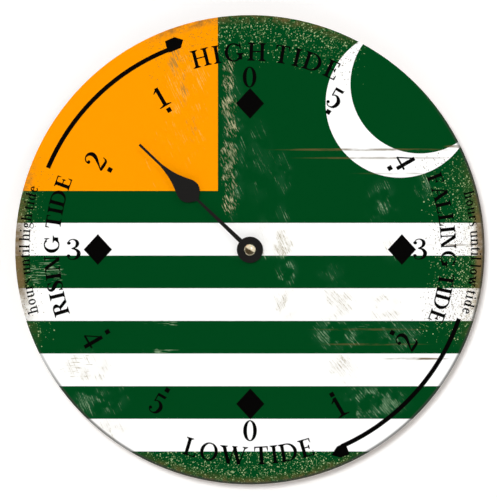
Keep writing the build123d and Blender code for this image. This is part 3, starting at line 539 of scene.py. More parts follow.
# Each letter has its width and its strokes. A stem or thin stroke has its middle, foot and top, a bar its
# two ends and height, a slanting one its two ends, an arc its centre, half sizes and angles, a brush its
# points and widths.
GLYPHS = {
    "H": (98, [
        ("stem", 20, 0, 100), ("stem", 78, 0, 100), ("bar", 20, 78, 52), ("foot", 20, 0), ("foot", 78, 0),
        ("head", 20, 100), ("head", 78, 100)]),
    "I": (38, [("stem", 19, 0, 100), ("foot", 19, 0), ("head", 19, 100)]),
    "G": (108, [
        ("arc", 54, 50, 48, 51.5, 44, 322), ("stem", 88, 8, 42), ("head", 88, 44),
        ("shape", [(83, 84), (88, 99), (92, 99), (94, 66), (91, 66)])]),
    "T": (86, [("stem", 43, 0, 100), ("top", 6, 80), ("drop", 6, 1), ("drop", 80, -1), ("foot", 43, 0)]),
    "D": (104, [
        ("stem", 20, 0, 100), ("foot", 20, 0), ("head", 20, 100), ("top", 20, 42), ("base", 20, 42),
        ("arc", 42, 50, 54, 50, -90, 90)]),
    "E": (80, [
        ("stem", 20, 0, 100), ("foot", 20, 0), ("head", 20, 100), ("top", 20, 66), ("base", 20, 70),
        ("bar", 20, 52, 52), ("drop", 66, -1), ("rise", 70), ("thin", 52, 41, 63)]),
    "F": (76, [
        ("stem", 20, 0, 100), ("foot", 20, 0), ("head", 20, 100), ("top", 20, 66), ("bar", 20, 52, 52),
        ("drop", 66, -1), ("thin", 52, 41, 63)]),
    "L": (76, [("stem", 20, 0, 100), ("foot", 20, 0), ("head", 20, 100), ("base", 20, 70), ("rise", 70)]),
    "O": (106, [("arc", 53, 50, 48, 51.5, 0, 360)]),
    "W": (156, [
        ("thick", 20, 100, 51, 0), ("hair", 51, 0, 80, 100), ("thick", 76, 100, 107, 0),
        ("hair", 107, 0, 136, 100), ("head", 20, 100), ("thin_head", 79, 100), ("thin_head", 136, 100)]),
    "R": (94, [
        ("stem", 20, 0, 100), ("foot", 20, 0), ("head", 20, 100), ("top", 20, 42), ("bar", 20, 42, 51),
        ("arc", 42, 74.2, 32, 25.8, -90, 90), ("thick", 48, 51, 80, 0), ("base", 78, 94)]),
    "S": (70, [
        ("brush", [
            (55, 72, 3), (51, 88, 4), (38, 98, 5), (21, 93, 9), (15, 78, 13), (22, 63, 16), (37, 52, 18),
            (52, 38, 16), (57, 23, 13), (49, 7, 8), (34, 1, 5), (18, 7, 4), (10, 28, 3)]),
        ("shape", [(50, 88), (55, 100), (58, 100), (58, 70), (55, 70)]),
        ("shape", [(17, 12), (10, 0), (7, 0), (7, 30), (10, 30)])]),
    "N": (100, [
        ("thin", 18, 0, 100), ("thin", 82, 0, 100), ("thick", 20, 100, 78, 0), ("thin_head", 13, 100),
        ("thin_foot", 18, 0), ("thin_head", 82, 100)]),
    "A": (94, [
        ("hair", 14, 0, 45, 100), ("thick", 47, 100, 79, 0), ("bar", 24, 68, 34), ("thin_foot", 14, 0),
        ("foot", 79, 0)]),
    "h": (68, [
        ("stem", 16, 0, 100), ("flag", 16, 100), ("foot", 16, 0), ("stem", 52, 0, 46), ("foot", 52, 0),
        ("brush", [(18, 46, 4), (25, 58, 5), (36, 64.5, 8), (47, 61, 12), (52, 46, 15)])]),
    "n": (68, [
        ("stem", 16, 0, 66), ("flag", 16, 66), ("foot", 16, 0), ("stem", 52, 0, 46), ("foot", 52, 0),
        ("brush", [(18, 46, 4), (25, 58, 5), (36, 64.5, 8), (47, 61, 12), (52, 46, 15)])]),
    "u": (68, [
        ("stem", 16, 20, 66), ("flag", 16, 66), ("stem", 52, 0, 66), ("flag", 52, 66), ("base", 52, 66),
        ("brush", [(16, 20, 15), (19, 8, 12), (30, 2, 8), (42, 6, 5), (52, 18, 4)])]),
    "r": (48, [
        ("stem", 16, 0, 66), ("flag", 16, 66), ("foot", 16, 0), ("ball", 41, 58, 7),
        ("brush", [(18, 42, 4), (25, 57, 5), (35, 65, 6), (42, 62, 7)])]),
    "i": (34, [("stem", 17, 0, 66), ("flag", 17, 66), ("foot", 17, 0), ("ball", 16, 90, 8)]),
    "l": (34, [("stem", 17, 0, 100), ("flag", 17, 100), ("foot", 17, 0)]),
    "t": (42, [
        ("stem", 18, 14, 78), ("shape", [(10, 66), (18, 86), (25, 86), (25, 66)]), ("bar", 4, 38, 63.5),
        ("brush", [(18, 16, 15), (21, 6, 12), (30, 2, 7), (39, 10, 4)])]),
    "o": (62, [("arc", 31, 33, 26.5, 34.5, 0, 360)]),
    "e": (58, [("arc", 30, 33, 25, 34.5, 12, 318), ("bar", 10, 53, 39)]),
    "d": (68, [
        ("arc", 30, 32.5, 25, 33.5, 0, 360), ("stem", 50, 0, 100), ("flag", 50, 100), ("base", 50, 64)]),
    "g": (60, [
        ("arc", 27, 45, 20, 22.5, 0, 360),
        ("brush", [
            (17, 28, 4), (11, 18, 6), (20, 10, 10), (38, 7, 12), (50, -2, 10), (49, -14, 7), (38, -23, 5),
            (22, -25, 5), (8, -17, 6), (10, -4, 5), (20, 6, 4)]),
        ("brush", [(40, 60, 5), (49, 65, 6), (56, 65, 8)])]),
    "w": (96, [
        ("thick", 14, 66, 33, 0), ("hair", 33, 0, 49, 66), ("thick", 47, 66, 66, 0),
        ("hair", 66, 0, 83, 66), ("head", 14, 66), ("thin_head", 83, 66)]),
    "s": (50, [
        ("brush", [
            (38, 48, 3), (34, 60, 4), (25, 65, 5), (14, 61, 8), (11, 51, 11), (17, 41, 13), (27, 34, 14),
            (37, 25, 13), (40, 15, 10), (34, 5, 7), (24, 1, 5), (13, 5, 4), (8, 19, 3)])]),
    "0": (72, [("arc", 36, 50, 30.5, 51.5, 0, 360)]),
    "1": (56, [
        ("stem", 29, 0, 100), ("wide_foot", 29, 0),
        ("shape", [(6, 80), (9, 76.5), (25, 86), (29, 100), (26, 100)])]),
    "2": (68, [
        ("ball", 17, 74.5, 7.5),
        ("brush", [
            (12.5, 76, 4), (16, 89, 5), (28, 97.5, 6), (43, 93, 12), (51, 78, 15), (48, 60, 14),
            (36, 40, 10), (22, 20, 6), (12, 6, 4)]),
        ("brush", [(12, 5, 5), (24, 7.5, 13), (40, 6.5, 13), (52, 7, 11), (59, 16, 5), (61, 27, 2.5)])]),
    "3": (66, [
        ("ball", 15, 80, 7.5), ("ball", 14, 18, 7.5),
        ("brush", [
            (11.5, 82, 4), (19, 94, 4.5), (32, 98.5, 5), (45, 91, 11), (49, 77, 14), (42, 61, 9),
            (26, 54, 4)]),
        ("brush", [
            (26, 54, 4), (43, 49, 10), (53, 36, 15), (53, 22, 15.5), (45, 7, 11), (30, 0.5, 5),
            (17, 4, 4.5), (10, 15, 4)])]),
    "4": (76, [("stem", 50, 0, 100), ("hair", 7, 29, 50, 100), ("bar", 5, 70, 27), ("bar", 5, 70, 31)]),
    "5": (66, [
        ("shape", [(14, 99), (50, 99), (54, 102), (52, 85), (14, 85)]), ("thin", 16, 54, 99),
        ("ball", 14, 18, 7.5),
        ("brush", [
            (15, 55, 4), (28, 62.5, 6), (43, 57, 12), (53, 42, 15.5), (53, 26, 15.5), (45, 8, 11),
            (30, 0.5, 5), (17, 4, 4.5), (10, 15, 4)])]),
}

# How much each numeral is widened, and how much it is heightened.
NUMERAL_STYLE = {
    "0": (1.1, 1), "1": (1.12, 1), "2": (1.18, 1.06), "3": (1.24, 1), "4": (1.1, 1), "5": (1.12, 1)}

# The layer of ink on the back cover.
PAD_INK_THICKNESS = 0.02 * MM

# The small screws have a rolled thread of half a millimetre and a tapered cross recess. What isn't in
# millimetres is a share: of the shank's radius, the head's radius or the head's thickness.
SCREW_SIDES = 24
SCREW_EDGE = 0.12 * MM
THREAD_PITCH = 0.5 * MM
THREAD_ROOT = 0.82
CROSS_REACH = 0.62
CROSS_HALF_WIDTH = 0.13
CROSS_TAPER = 0.75
CROSS_DEPTH = 0.7

# The picture is this wide at the dial's front, in metres, through a long lens of 200 mm on a 36 mm film.
# The camera stands a little left of the dial's centre and above it.
FRAME_WIDTH = 0.3227
LENS = 200.0
FILM_WIDTH = 36.0
CAMERA_ACROSS, CAMERA_UP = -0.9 * MM, 0.8 * MM

# The stage in metres: the reach of the wall and floor, the floor's level, and the wall's place in depth.
STAGE_REACH = 3.0
FLOOR_LEVEL = -0.6
WALL_PLACE = 0.5 * MM

# The brown card stands 0.3 m in front of the wall, and its top edge slants up to the left.
CARD_CORNERS = [(-9.0, -0.3, -12.0), (9.0, -0.3, -12.0), (9.0, -0.3, -5.2), (-9.0, -0.3, 5.2)]

# Each lamp has its place, its side in metres and its power. The last lights the clock's back from behind
# the wall, and can't reach the wall's front.
LAMPS = [
    ("front_lamp", (-0.17, -2.05, 0.22), 0.26, 27.0),
    ("side_lamp", (0.85, -1.5, 0.8), 0.45, 3.0),
    ("back_lamp", (0.7, 1.5, 0.9), 0.6, 22.0),
]


def rectangle(left, low, right, high):
    """Gives the corners of an upright rectangle."""
    return [(left, low), (right, low), (right, high), (left, high)]


def slanted(x_start, y_start, x_end, y_end, width):
    """Gives a slanting stroke with level ends."""
    half = width / 2
    return [
        (x_start - half, y_start), (x_start + half, y_start), (x_end + half, y_end), (x_end - half, y_end)]


def serif(x, y, width, way, reach):
    """Gives a bracketed serif that grows up from the baseline or down from the top."""
    half = width / 2
    out = half + reach
    shoulder = out - SERIF_BRACKET
    thin = y + SERIF_THICKNESS * way
    rise = thin + SERIF_RISE * way
    return [
        [(x - out, y), (x + out, y), (x + out, thin), (x - out, thin)],
        [(x - shoulder, thin), (x + shoulder, thin), (x + half, rise), (x - half, rise)]]


def ring_strips(x, y, across, up, start, end, side, thin, steps=ARC_STEPS):
    """Gives a curved stroke, thick at its sides and thin at its top and foot."""
    corners = []
    for index in range(steps + 1):
        turn = math.radians(start + (end - start) * index / steps)
        outer = (x + across * math.cos(turn), y + up * math.sin(turn))
        inner = (x + (across - side) * math.cos(turn), y + (up - thin) * math.sin(turn))
        corners.append((outer, inner))
    return quads(corners)


def quads(sides):
    """Joins each pair of side points to the next pair."""
    return [
        [left_a, left_b, right_b, right_a]
        for (left_a, right_a), (left_b, right_b) in zip(sides, sides[1:])]


def smooth_line(points, parts=5):
    """Gives points along a smooth line through places with widths."""
    line = []
    last = len(points) - 1
    for index in range(last):
        before = points[max(index - 1, 0)]
        start, end = points[index], points[index + 1]
        after = points[min(index + 2, last)]
        for part in range(parts):
            t = part / parts
            line.append(tuple(
                0.5 * (2 * b + (c - a) * t + (2 * a - 5 * b + 4 * c - d) * t * t
                       + (3 * b - a - 3 * c + d) * t ** 3)
                for a, b, c, d in zip(before, start, end, after)))
    return line + [points[last]]


def brush_strips(points, weight):
    """Gives a stroke whose width changes along its line."""
    line = smooth_line(points)
    sides = []
    for (x, y, width), back, ahead in zip(line, line[:1] + line, line[1:] + line[-1:]):
        run = Vector((ahead[0] - back[0], ahead[1] - back[1])).normalized() * width * weight / 2
        sides.append(((x - run.y, y + run.x), (x + run.y, y - run.x)))
    return quads(sides)


def stroke_shapes(stroke, stem, hair):
    """Gives the flat shapes of one stroke of a letter."""
    kind, *values = stroke
    if kind in SERIFS:
        ends_hair, way, reach = SERIFS[kind]
        return serif(*values, hair if ends_hair else stem, way, reach)
    if kind in ("stem", "thin"):
        x, low, high = values
        half = (stem if kind == "stem" else hair) / 2
        return [rectangle(x - half, low, x + half, high)]
    if kind == "bar":
        left, right, y = values
        return [rectangle(left, y - hair / 2, right, y + hair / 2)]
    if kind == "top":
        return [rectangle(values[0], CAPITAL - hair, values[1], CAPITAL)]
    if kind == "base":
        return [rectangle(values[0], 0, values[1], hair)]
    if kind == "drop":
        x, way = values
        return [[(x, 100), (x + 10 * way, 100), (x + 3 * way, 74), (x, 74)]]
    if kind == "rise":
        x = values[0]
        return [[(x, 0), (x, 28), (x - 3, 28), (x - 12, 0)]]
    if kind == "thick":
        return [slanted(*values, stem * SLANTED_STEM_SHARE)]
    if kind == "hair":
        return [slanted(*values, hair * SLANTED_HAIR_SHARE)]
    if kind == "flag":
        x, y = values
        left, right = x - stem / 2, x + stem / 2
        return [[(left - 10, y - 5), (left, y - 9), (right, y - 12), (right, y + 1.5)]]
    if kind == "arc":
        return ring_strips(*values, stem, hair)
    if kind == "ball":
        x, y, radius = values
        return [[(x + across, y + up) for across, up in circle(radius, BALL_SIDES)]]
    if kind == "brush":
        return brush_strips(values[0], stem / BRUSH_STEM)
    return [list(values[0])]


def turned_left(shape):
    """Gives a flat shape's corners in the order that keeps its inside on the left."""
    area = sum(a[0] * b[1] - b[0] * a[1] for a, b in zip(shape, shape[1:] + shape[:1]))
    return list(shape) if area > 0 else list(reversed(shape))


def joined_outline(shapes):
    """Joins overlapping flat shapes into one net of faces that share their edges."""
    points, faces = [], []
    for shape in shapes:
        faces.append(list(range(len(points), len(points) + len(shape))))
        points.extend(Vector(corner) for corner in turned_left(shape))
    verts, _, parts, _, _, sources = delaunay_2d_cdt(points, [], faces, 1, 1e-6, True)
    return verts, [list(part) for part, source in zip(parts, sources) if source]


def new_piece(name, points, faces, material):
    """Makes an object of one material from points and faces."""
    mesh = bpy.data.meshes.new(name)
    mesh.from_pydata(points, [], faces)
    mesh.update()
    mesh.materials.append(material)
    piece = bpy.data.objects.new(name, mesh)
    bpy.context.scene.collection.objects.link(piece)
    return piece


def printed_piece(name, patches, thickness, ink, base=FACE_FRONT, way=-1):
    """Makes one closed thin solid for each patch of joined shapes in metres, facing front or back."""
    points, faces = [], []
    back, front = base, base + thickness * way
    for verts, parts in patches:
        used = sorted({index for part in parts for index in part})
        number = {index: order for order, index in enumerate(used)}
        start = len(points)
        points += [(verts[index].x, back, verts[index].y) for index in used]
        points += [(verts[index].x, front, verts[index].y) for index in used]
        shift = start + len(used)
        edges = set()
        for part in parts:
            ring = [number[index] for index in part]
            faces.append([index + shift for index in ring])
            faces.append([index + start for index in reversed(ring)])
            edges.update(zip(ring, ring[1:] + ring[:1]))
        for a, b in edges:
            if (b, a) not in edges:
                faces.append([a + start, b + start, b + shift, a + shift])
    if way > 0:
        faces = [face[::-1] for face in faces]
    piece = new_piece(name, points, faces, ink)
    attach(piece, "clock")


def circle(radius, steps):
    """Gives the corners of a circle about zero."""
    turns = [2 * math.pi * index / steps for index in range(steps)]
    return [(radius * math.cos(turn), radius * math.sin(turn)) for turn in turns]


def band_faces(first, second, count):
    """Joins two rings of the same number of points, given by the first point of each."""
    return [[first + index, first + (index + 1) % count, second + (index + 1) % count, second + index]
            for index in range(count)]


def screw_piece(node, head_thickness, shank_radius, steel):
    """Makes a pan head screw with a cross recess and a rolled thread, in the place of a plain CAD screw."""
    low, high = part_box(node)
    x, z, top, tip = (low.x + high.x) / 2, (low.z + high.z) / 2, high.y, low.y
    head = (high.x - low.x) / 2
    root = shank_radius * THREAD_ROOT
    level = top - head_thickness
    profile = [(head - SCREW_EDGE, top), (head, top - SCREW_EDGE), (head, level), (root, level)]
    while level > tip + 2 * THREAD_PITCH:
        profile += [(shank_radius, level - THREAD_PITCH / 2), (root, level - THREAD_PITCH)]
        level -= THREAD_PITCH
    profile.append((root / 3, tip))
    arm, half = head * CROSS_REACH, head * CROSS_HALF_WIDTH
    quarter = [(arm, -half), (arm, half), (half, half)]
    cross = []
    for _ in range(4):
        cross += quarter
        quarter = [(-pz, px) for px, pz in quarter]
    count = len(cross)
    outline = circle(profile[0][0], SCREW_SIDES) + cross
    rings = [list(range(SCREW_SIDES)), list(range(SCREW_SIDES, len(outline)))]
    _, _, parts, starts, _, sources = delaunay_2d_cdt(
        [Vector(corner) for corner in outline], [], rings, 1, 1e-9, True)
    faces = [
        [starts[index][0] for index in reversed(part)]
        for part, source in zip(parts, sources) if source == [0]]
    # The recess narrows to its floor, and then the head, the neck and the thread go down in rings.
    points = [(px, top, pz) for px, pz in outline]
    bottom = len(points)
    floor = top - head_thickness * CROSS_DEPTH
    points += [(px * CROSS_TAPER, floor, pz * CROSS_TAPER) for px, pz in cross]
    faces += [face[::-1] for face in band_faces(SCREW_SIDES, bottom, count)]
    faces.append([bottom + index for index in reversed(range(count))])
    ring = 0
    for radius, level in profile[1:]:
        start = len(points)
        points += [(px, level, pz) for px, pz in circle(radius, SCREW_SIDES)]
        faces += band_faces(ring, start, SCREW_SIDES)
        ring = start
    faces.append([ring + index for index in range(SCREW_SIDES)])
    points = [(x + px, level, z + pz) for px, level, pz in points]
    piece = new_piece("cross_" + node, points, faces, steel)
    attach(piece, "clock")
    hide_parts(node)


def set_shapes(shapes, scale, place, turn):
    """Scales flat shapes, turns them clockwise by an angle and moves them to a place."""
    cosine, sine = math.cos(turn), math.sin(turn)
    return [[
        (place[0] + scale * (x * cosine + y * sine), place[1] + scale * (y * cosine - x * sine))
        for x, y in shape] for shape in shapes]


def letter_shapes(letter, stem, hair, wide):
    """Gives a letter's flat shapes, widened and centred across on its foot."""
    width, strokes = GLYPHS[letter]
    shapes = []
    for stroke in strokes:
        shapes += stroke_shapes(stroke, stem / wide, hair)
    return [[((x - width / 2) * wide, y) for x, y in shape] for shape in shapes]


def centred_shapes(shapes):
    """Moves flat shapes so that the middle of their box is at zero."""
    across = [x for shape in shapes for x, _ in shape]
    up = [y for shape in shapes for _, y in shape]
    middle_x, middle_y = (min(across) + max(across)) / 2, (min(up) + max(up)) / 2
    return [[(x - middle_x, y - middle_y) for x, y in shape] for shape in shapes]


def curved_patches(text, radius, height, start, end, stem, hair, wide, gap):
    """Sets a line of letters round the dial between two clock angles in degrees, with a gap between words.

    The letters stand outwards where the angles rise, and inwards where they fall."""
    unit = height / CAPITAL
    angles = [(GLYPHS[letter][0] * wide if letter in GLYPHS else gap) * unit / radius for letter in text]
    spare = (math.radians(abs(end - start)) - sum(angles)) / (len(text) - 1)
    way = 1 if end > start else -1
    turn = math.radians(start)
    patches = []
    for letter, angle in zip(text, angles):
        middle = turn + way * angle / 2
        place = (radius * math.sin(middle), radius * math.cos(middle))
        if letter in GLYPHS:
            tilt = middle if way > 0 else middle + math.pi
            shapes = set_shapes(letter_shapes(letter, stem, hair, wide), unit, place, tilt)
            patches.append(joined_outline(shapes))
        turn += way * (angle + spare)
    return patches


def print_on_dial(context, name, patches):
    """Prints flat patches on the dial's front in black screen ink: opaque, a little uneven and dull."""
    ink = bpy.data.materials.get("screen_ink_printed") or grained(
        "screen_ink_printed", [], "#020202", "#080706", grain=0.6, roughness=0.7, bump=0.05, spread=0.1,
        shine=0.02)
    printed_piece(name, patches, context.scene.tide_clock_sizes.ink_thickness, ink)


class DialPrint(bpy.types.Operator):
    """Prints the dial's fields and wear, and finishes the board behind it"""
    bl_idname = "tideclock.dial_print"
    bl_label = "Print the dial"

    def execute(self, context):
        scene = context.scene
        dress(["dial_face"], DialFilm(scene.tide_clock_sizes, scene.tide_clock_colours).material)
        # Hardboard, sawn and sealed: brown fibres a millimetre or two long, with a dull sealed skin.
        grained(
            "hardboard_sawn_sealed", ["dial_board"], "#5E422B", "#8A6846", grain=0.9, roughness=0.7,
            bump=0.35, stretch=(2.0, 0.6, 2.0))
        return {"FINISHED"}


class DialNumbers(bpy.types.Operator):
    """Sets the hour numerals and their square dots"""
    bl_idname = "tideclock.dial_numbers"
    bl_label = "Set the numerals"

    def execute(self, context):
        sizes = context.scene.tide_clock_sizes
        # A row holds the numeral, its middle in millimetres from the centre, and its turn in degrees.
        rows = [
            ("0", -0.2, 112.1, 0), ("0", 0.1, -117.5, 0), ("3", -114.4, 0.2, 0), ("3", 110.5, 0.4, 0),
            ("1", -57.8, 99.1, -30), ("2", -100.2, 57.9, -60), ("5", 55.6, 98.3, 30), ("4", 100.2, 57.6, 60),
            ("4", -102.6, -58.3, 60), ("5", -59.7, -100.0, 30), ("1", 57.8, -102.0, -30),
            ("2", 101.6, -59.7, -60)]
        dots = [
            (-52.5, 90.8, -30), (-90.9, 51.9, -60), (50.9, 89.5, 30), (90.9, 53.0, 60), (-92.5, -53.3, 60),
            (-53.6, -91.2, 30), (53.3, -94.1, -30), (92.5, -53.9, -60)]
        patches = []
        for numeral, x, z, turn in rows:
            wide, tall = NUMERAL_STYLE[numeral]
            shapes = centred_shapes(letter_shapes(numeral, NUMERAL_STEM, NUMERAL_HAIR, wide))
            unit = sizes.numeral_height * tall / CAPITAL
            patches.append(joined_outline(set_shapes(shapes, unit, (x * MM, z * MM), math.radians(turn))))
        print_on_dial(context, "dial_numbers", patches)
        square = [rectangle(-0.5, -0.5, 0.5, 0.5)]
        print_on_dial(context, "number_dots", [
            joined_outline(set_shapes(square, sizes.dot_side, (x * MM, z * MM), math.radians(turn)))
            for x, z, turn in dots])
        return {"FINISHED"}


class DialMarks(bpy.types.Operator):
    """Draws the four diamonds and the two long arrows"""
    bl_idname = "tideclock.dial_marks"
    bl_label = "Draw the marks"

    def execute(self, context):
        sizes = context.scene.tide_clock_sizes
        half_width, half_height = sizes.diamond_width / 2, sizes.diamond_height / 2
        diamond = [(half_width, 0), (0, half_height), (-half_width, 0), (0, -half_height)]
        print_on_dial(context, "tide_diamonds", [
            joined_outline(set_shapes([diamond], 1, (x * MM, z * MM), 0))
            for x, z in ((0.1, 95.0), (0.3, -100.1), (-98.7, 0.1), (98.7, 0.1))])
        # An arrow's line has its own centre, and angles counted from the right. Its head is a dart.
        arrows = [
            (-0.5, -1.8, 157.2, 111.2, [
                (-55.2, 135.4), (-48.9, 138.1), (-43.3, 136.3), (-44.8, 131.0), (-52.1, 128.0),
                (-54.2, 131.5)]),
            (2.0, 1.8, -19.2, -66.0, [
                (62.1, -125.1), (56.5, -127.8), (52.9, -133.4), (59.0, -135.0), (64.9, -132.7),
                (63.2, -128.8)])]
        width = sizes.arrow_width
        outer = sizes.arrow_radius + width / 2
        patches = []
        for x, z, start, end, head in arrows:
            line = ring_strips(x * MM, z * MM, outer, outer, start, end, width, width, ARROW_STEPS)
            patches.append(joined_outline(line + set_shapes([head], MM, (0, 0), 0)))
        print_on_dial(context, "tide_arrows", patches)
        return {"FINISHED"}


class DialLegends(bpy.types.Operator):
    """Sets the lettering that says what the hand shows"""
    bl_idname = "tideclock.dial_legends"
    bl_label = "Set the legends"

    def execute(self, context):
        sizes = context.scene.tide_clock_sizes
        capital, side, small = sizes.capital_height, sizes.side_capital_height, sizes.small_letter_height
        # A row holds the words, their radius in millimetres, their height, the angles of their start and
        # end, the widths of stems and hairlines, the letters' widening, and the gap between words.
        rows = [
            ("high_tide_legend", "HIGH TIDE", 122.7, capital, -17.2, 27.0, 19, 7, 1.05, 10),
            ("low_tide_legend", "LOW TIDE", 139.6, capital, 198.4, 162.0, 19, 7, 1.03, 10),
            ("rising_tide_legend", "RISING TIDE", 123.8, side, -109.4, -68.0, 23, 7.5, 1.1, 30),
            ("falling_tide_legend", "FALLING TIDE", 124.0, side, 67.5, 111.7, 22, 7.5, 1.05, 30),
            ("high_hours_legend", "hours until high tide", 143.1, small, -106.5, -73.5, 16, 8.5, 1.06, 20),
            ("low_hours_legend", "hours until low tide", 143.5, small, 75.0, 106.6, 16, 8.5, 1.04, 20)]
        for name, text, radius, *style in rows:
            print_on_dial(context, name, curved_patches(text, radius * MM, *style))
        return {"FINISHED"}


class HandAndCap(bpy.types.Operator):
    """Finishes the hand, the cap nut and the brass fixing"""
    bl_idname = "tideclock.hand_and_cap"
    bl_label = "Finish the hand"

    def execute(self, context):
        # Aluminium, stamped and sprayed matt black: a fine dry texture with a faint sheen.
        grained(
            "aluminium_stamped_black_paint", ["tide_hand"], "#191817", "#222120", grain=0.35,
            roughness=0.65, bump=0.08, shine=0.04)
        # Brass, turned and polished: pale, warm and bright, with a very slight unevenness.
        grained(
            "brass_turned_polished", ["cap_nut"], "#DCCBA6", "#F6ECD2", grain=0.5, roughness=0.2, bump=0.03,
            metallic=1.0)
        # Brass, machined and left bare: duller, with a streaked grain.
        grained(
            "brass_machined", ["threaded_bush", "hex_nut", "brass_washer", "clutch_collar"], "#B98A48",
            "#D7AE6C", grain=0.25, roughness=0.34, bump=0.12, metallic=1.0, stretch=(1.0, 4.0, 1.0))
        # Rubber, moulded: near black and quite dull, with a soft bloom.
        grained(
            "rubber_moulded", ["rubber_washer"], "#141414", "#262625", grain=0.4, roughness=0.82, bump=0.15)
        return {"FINISHED"}


class MovementCase(bpy.types.Operator):
    """Finishes the movement's case, cover, hanger and screws"""
    bl_idname = "tideclock.movement_case"
    bl_label = "Finish the movement case"

    def execute(self, context):
        # ABS, moulded in a spark eroded tool: an even pitting about 0.3 mm across, black and low in gloss.
        grained(
            "abs_moulded_spark_textured", ["movement_case"], "#17171A", "#232327", grain=0.3, roughness=0.6,
            bump=0.3)
        # The cover's ABS has a finer pitting and a little more gloss.
        grained(
            "abs_moulded_fine_textured", ["back_cover"], "#1D1D20", "#2B2B2F", grain=0.25, roughness=0.5,
            bump=0.25)
        # Polystyrene, moulded in grey: smooth, with a soft gloss.
        grained(
            "polystyrene_moulded_grey", ["middle_plate"], "#3B3C3F", "#4B4C50", grain=0.6, roughness=0.4,
            bump=0.06)
        # Steel, stamped and zinc plated: a cool grey, faintly blue and a little cloudy.
        grained(
            "steel_zinc_plated", ["hanger_plate"], "#9EA3A8", "#C4C8CC", grain=1.2, roughness=0.36,
            bump=0.08, metallic=1.0)
        # Each kind of screw, their number, and the head's thickness and shank's radius in millimetres.
        screws = [
            ("%s_%d" % (kind, index + 1), thickness * MM, radius * MM)
            for kind, count, thickness, radius in (
                ("cover_screw", 4, 0.6, 0.6), ("plate_screw", 2, 0.8, 0.8), ("coil_screw", 2, 0.7, 0.8))
            for index in range(count)]
        # Steel, turned and left bright: a clean cool shine with the finest of tool marks.
        steel = grained(
            "steel_turned_bright", ["hand_arbor"] + [screw[0] for screw in screws], "#A7A9AC", "#CFD0D2",
            grain=0.2, roughness=0.28, bump=0.1, metallic=1.0)
        for node, thickness, radius in screws:
            screw_piece(node, thickness, radius, steel)
        self.print_marks()
        return {"FINISHED"}

    def print_marks(self):
        """Prints the battery's plus and minus and the arrows round the knob on the back cover."""
        low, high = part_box("setting_knob")
        middle = ((low.x + high.x) / 2, (low.z + high.z) / 2)
        radius, width, span = 7.4 * MM, 0.7 * MM, 95
        dart = [(-0.2 * MM, -1.1 * MM), (1.9 * MM, 0.0), (-0.2 * MM, 1.1 * MM)]
        patches = []
        for start in (15, 195):
            line = ring_strips(
                0, 0, radius, radius, start, start + span, width, width, KNOB_ARROW_STEPS)
            end = math.radians(start + span)
            tip = (radius - width / 2) * math.cos(end), (radius - width / 2) * math.sin(end)
            head = set_shapes([dart], 1.0, tip, -end - math.pi / 2)
            patches.append(joined_outline(set_shapes(line + head, 1.0, middle, 0.0)))
        reach, half, across = 1.6 * MM, 0.35 * MM, 20 * MM
        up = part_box("battery_can")[1].z + 4.4 * MM
        level = rectangle(-reach, -half, reach, half)
        upright = rectangle(-half, -reach, half, reach)
        patches.append(joined_outline(set_shapes([level, upright], 1.0, (across, up), 0.0)))
        patches.append(joined_outline(set_shapes([level], 1.0, (-across, up), 0.0)))
        # Ink, pad printed: a thin pale grey layer, a little patchy.
        ink = grained("pad_ink_printed", [], "#B9BABA", "#D4D4D2", grain=0.5, roughness=0.55, bump=0.03)
        printed_piece("case_marks", patches, PAD_INK_THICKNESS, ink, base=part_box("back_cover")[1].y, way=1)


class GearTrain(bpy.types.Operator):
    """Finishes the wheels, the clutch and the setting knob"""
    bl_idname = "tideclock.gear_train"
    bl_label = "Finish the gear train"

    def execute(self, context):
        # Acetal, moulded in its natural colour: milky white with a soft waxy gloss.
        wheels = [
            "wheel_1", "wheel_2", "wheel_3", "wheel_4", "drive_wheel", "setting_wheel", "setting_pinion"]
        grained(
            "acetal_moulded_natural", wheels, "#DAD8CE", "#EFEDE4", grain=0.8, roughness=0.32, bump=0.04,
            coat=0.2)
        # Acetal, moulded in red: the two pieces that a finger or the magnet turns first.
        grained(
            "acetal_moulded_red", ["setting_knob", "rotor_spindle"], "#9C1F17", "#B8342A", grain=0.5,
            roughness=0.35, bump=0.06, coat=0.2)
        # Spring steel, rolled: bright, with the long fine lines of the mill.
        grained(
            "spring_steel_rolled", ["clutch_spring"], "#B2AFA6", "#D2CFC6", grain=0.1, roughness=0.25,
            bump=0.1, metallic=1.0, stretch=(6.0, 1.0, 1.0))
        return {"FINISHED"}


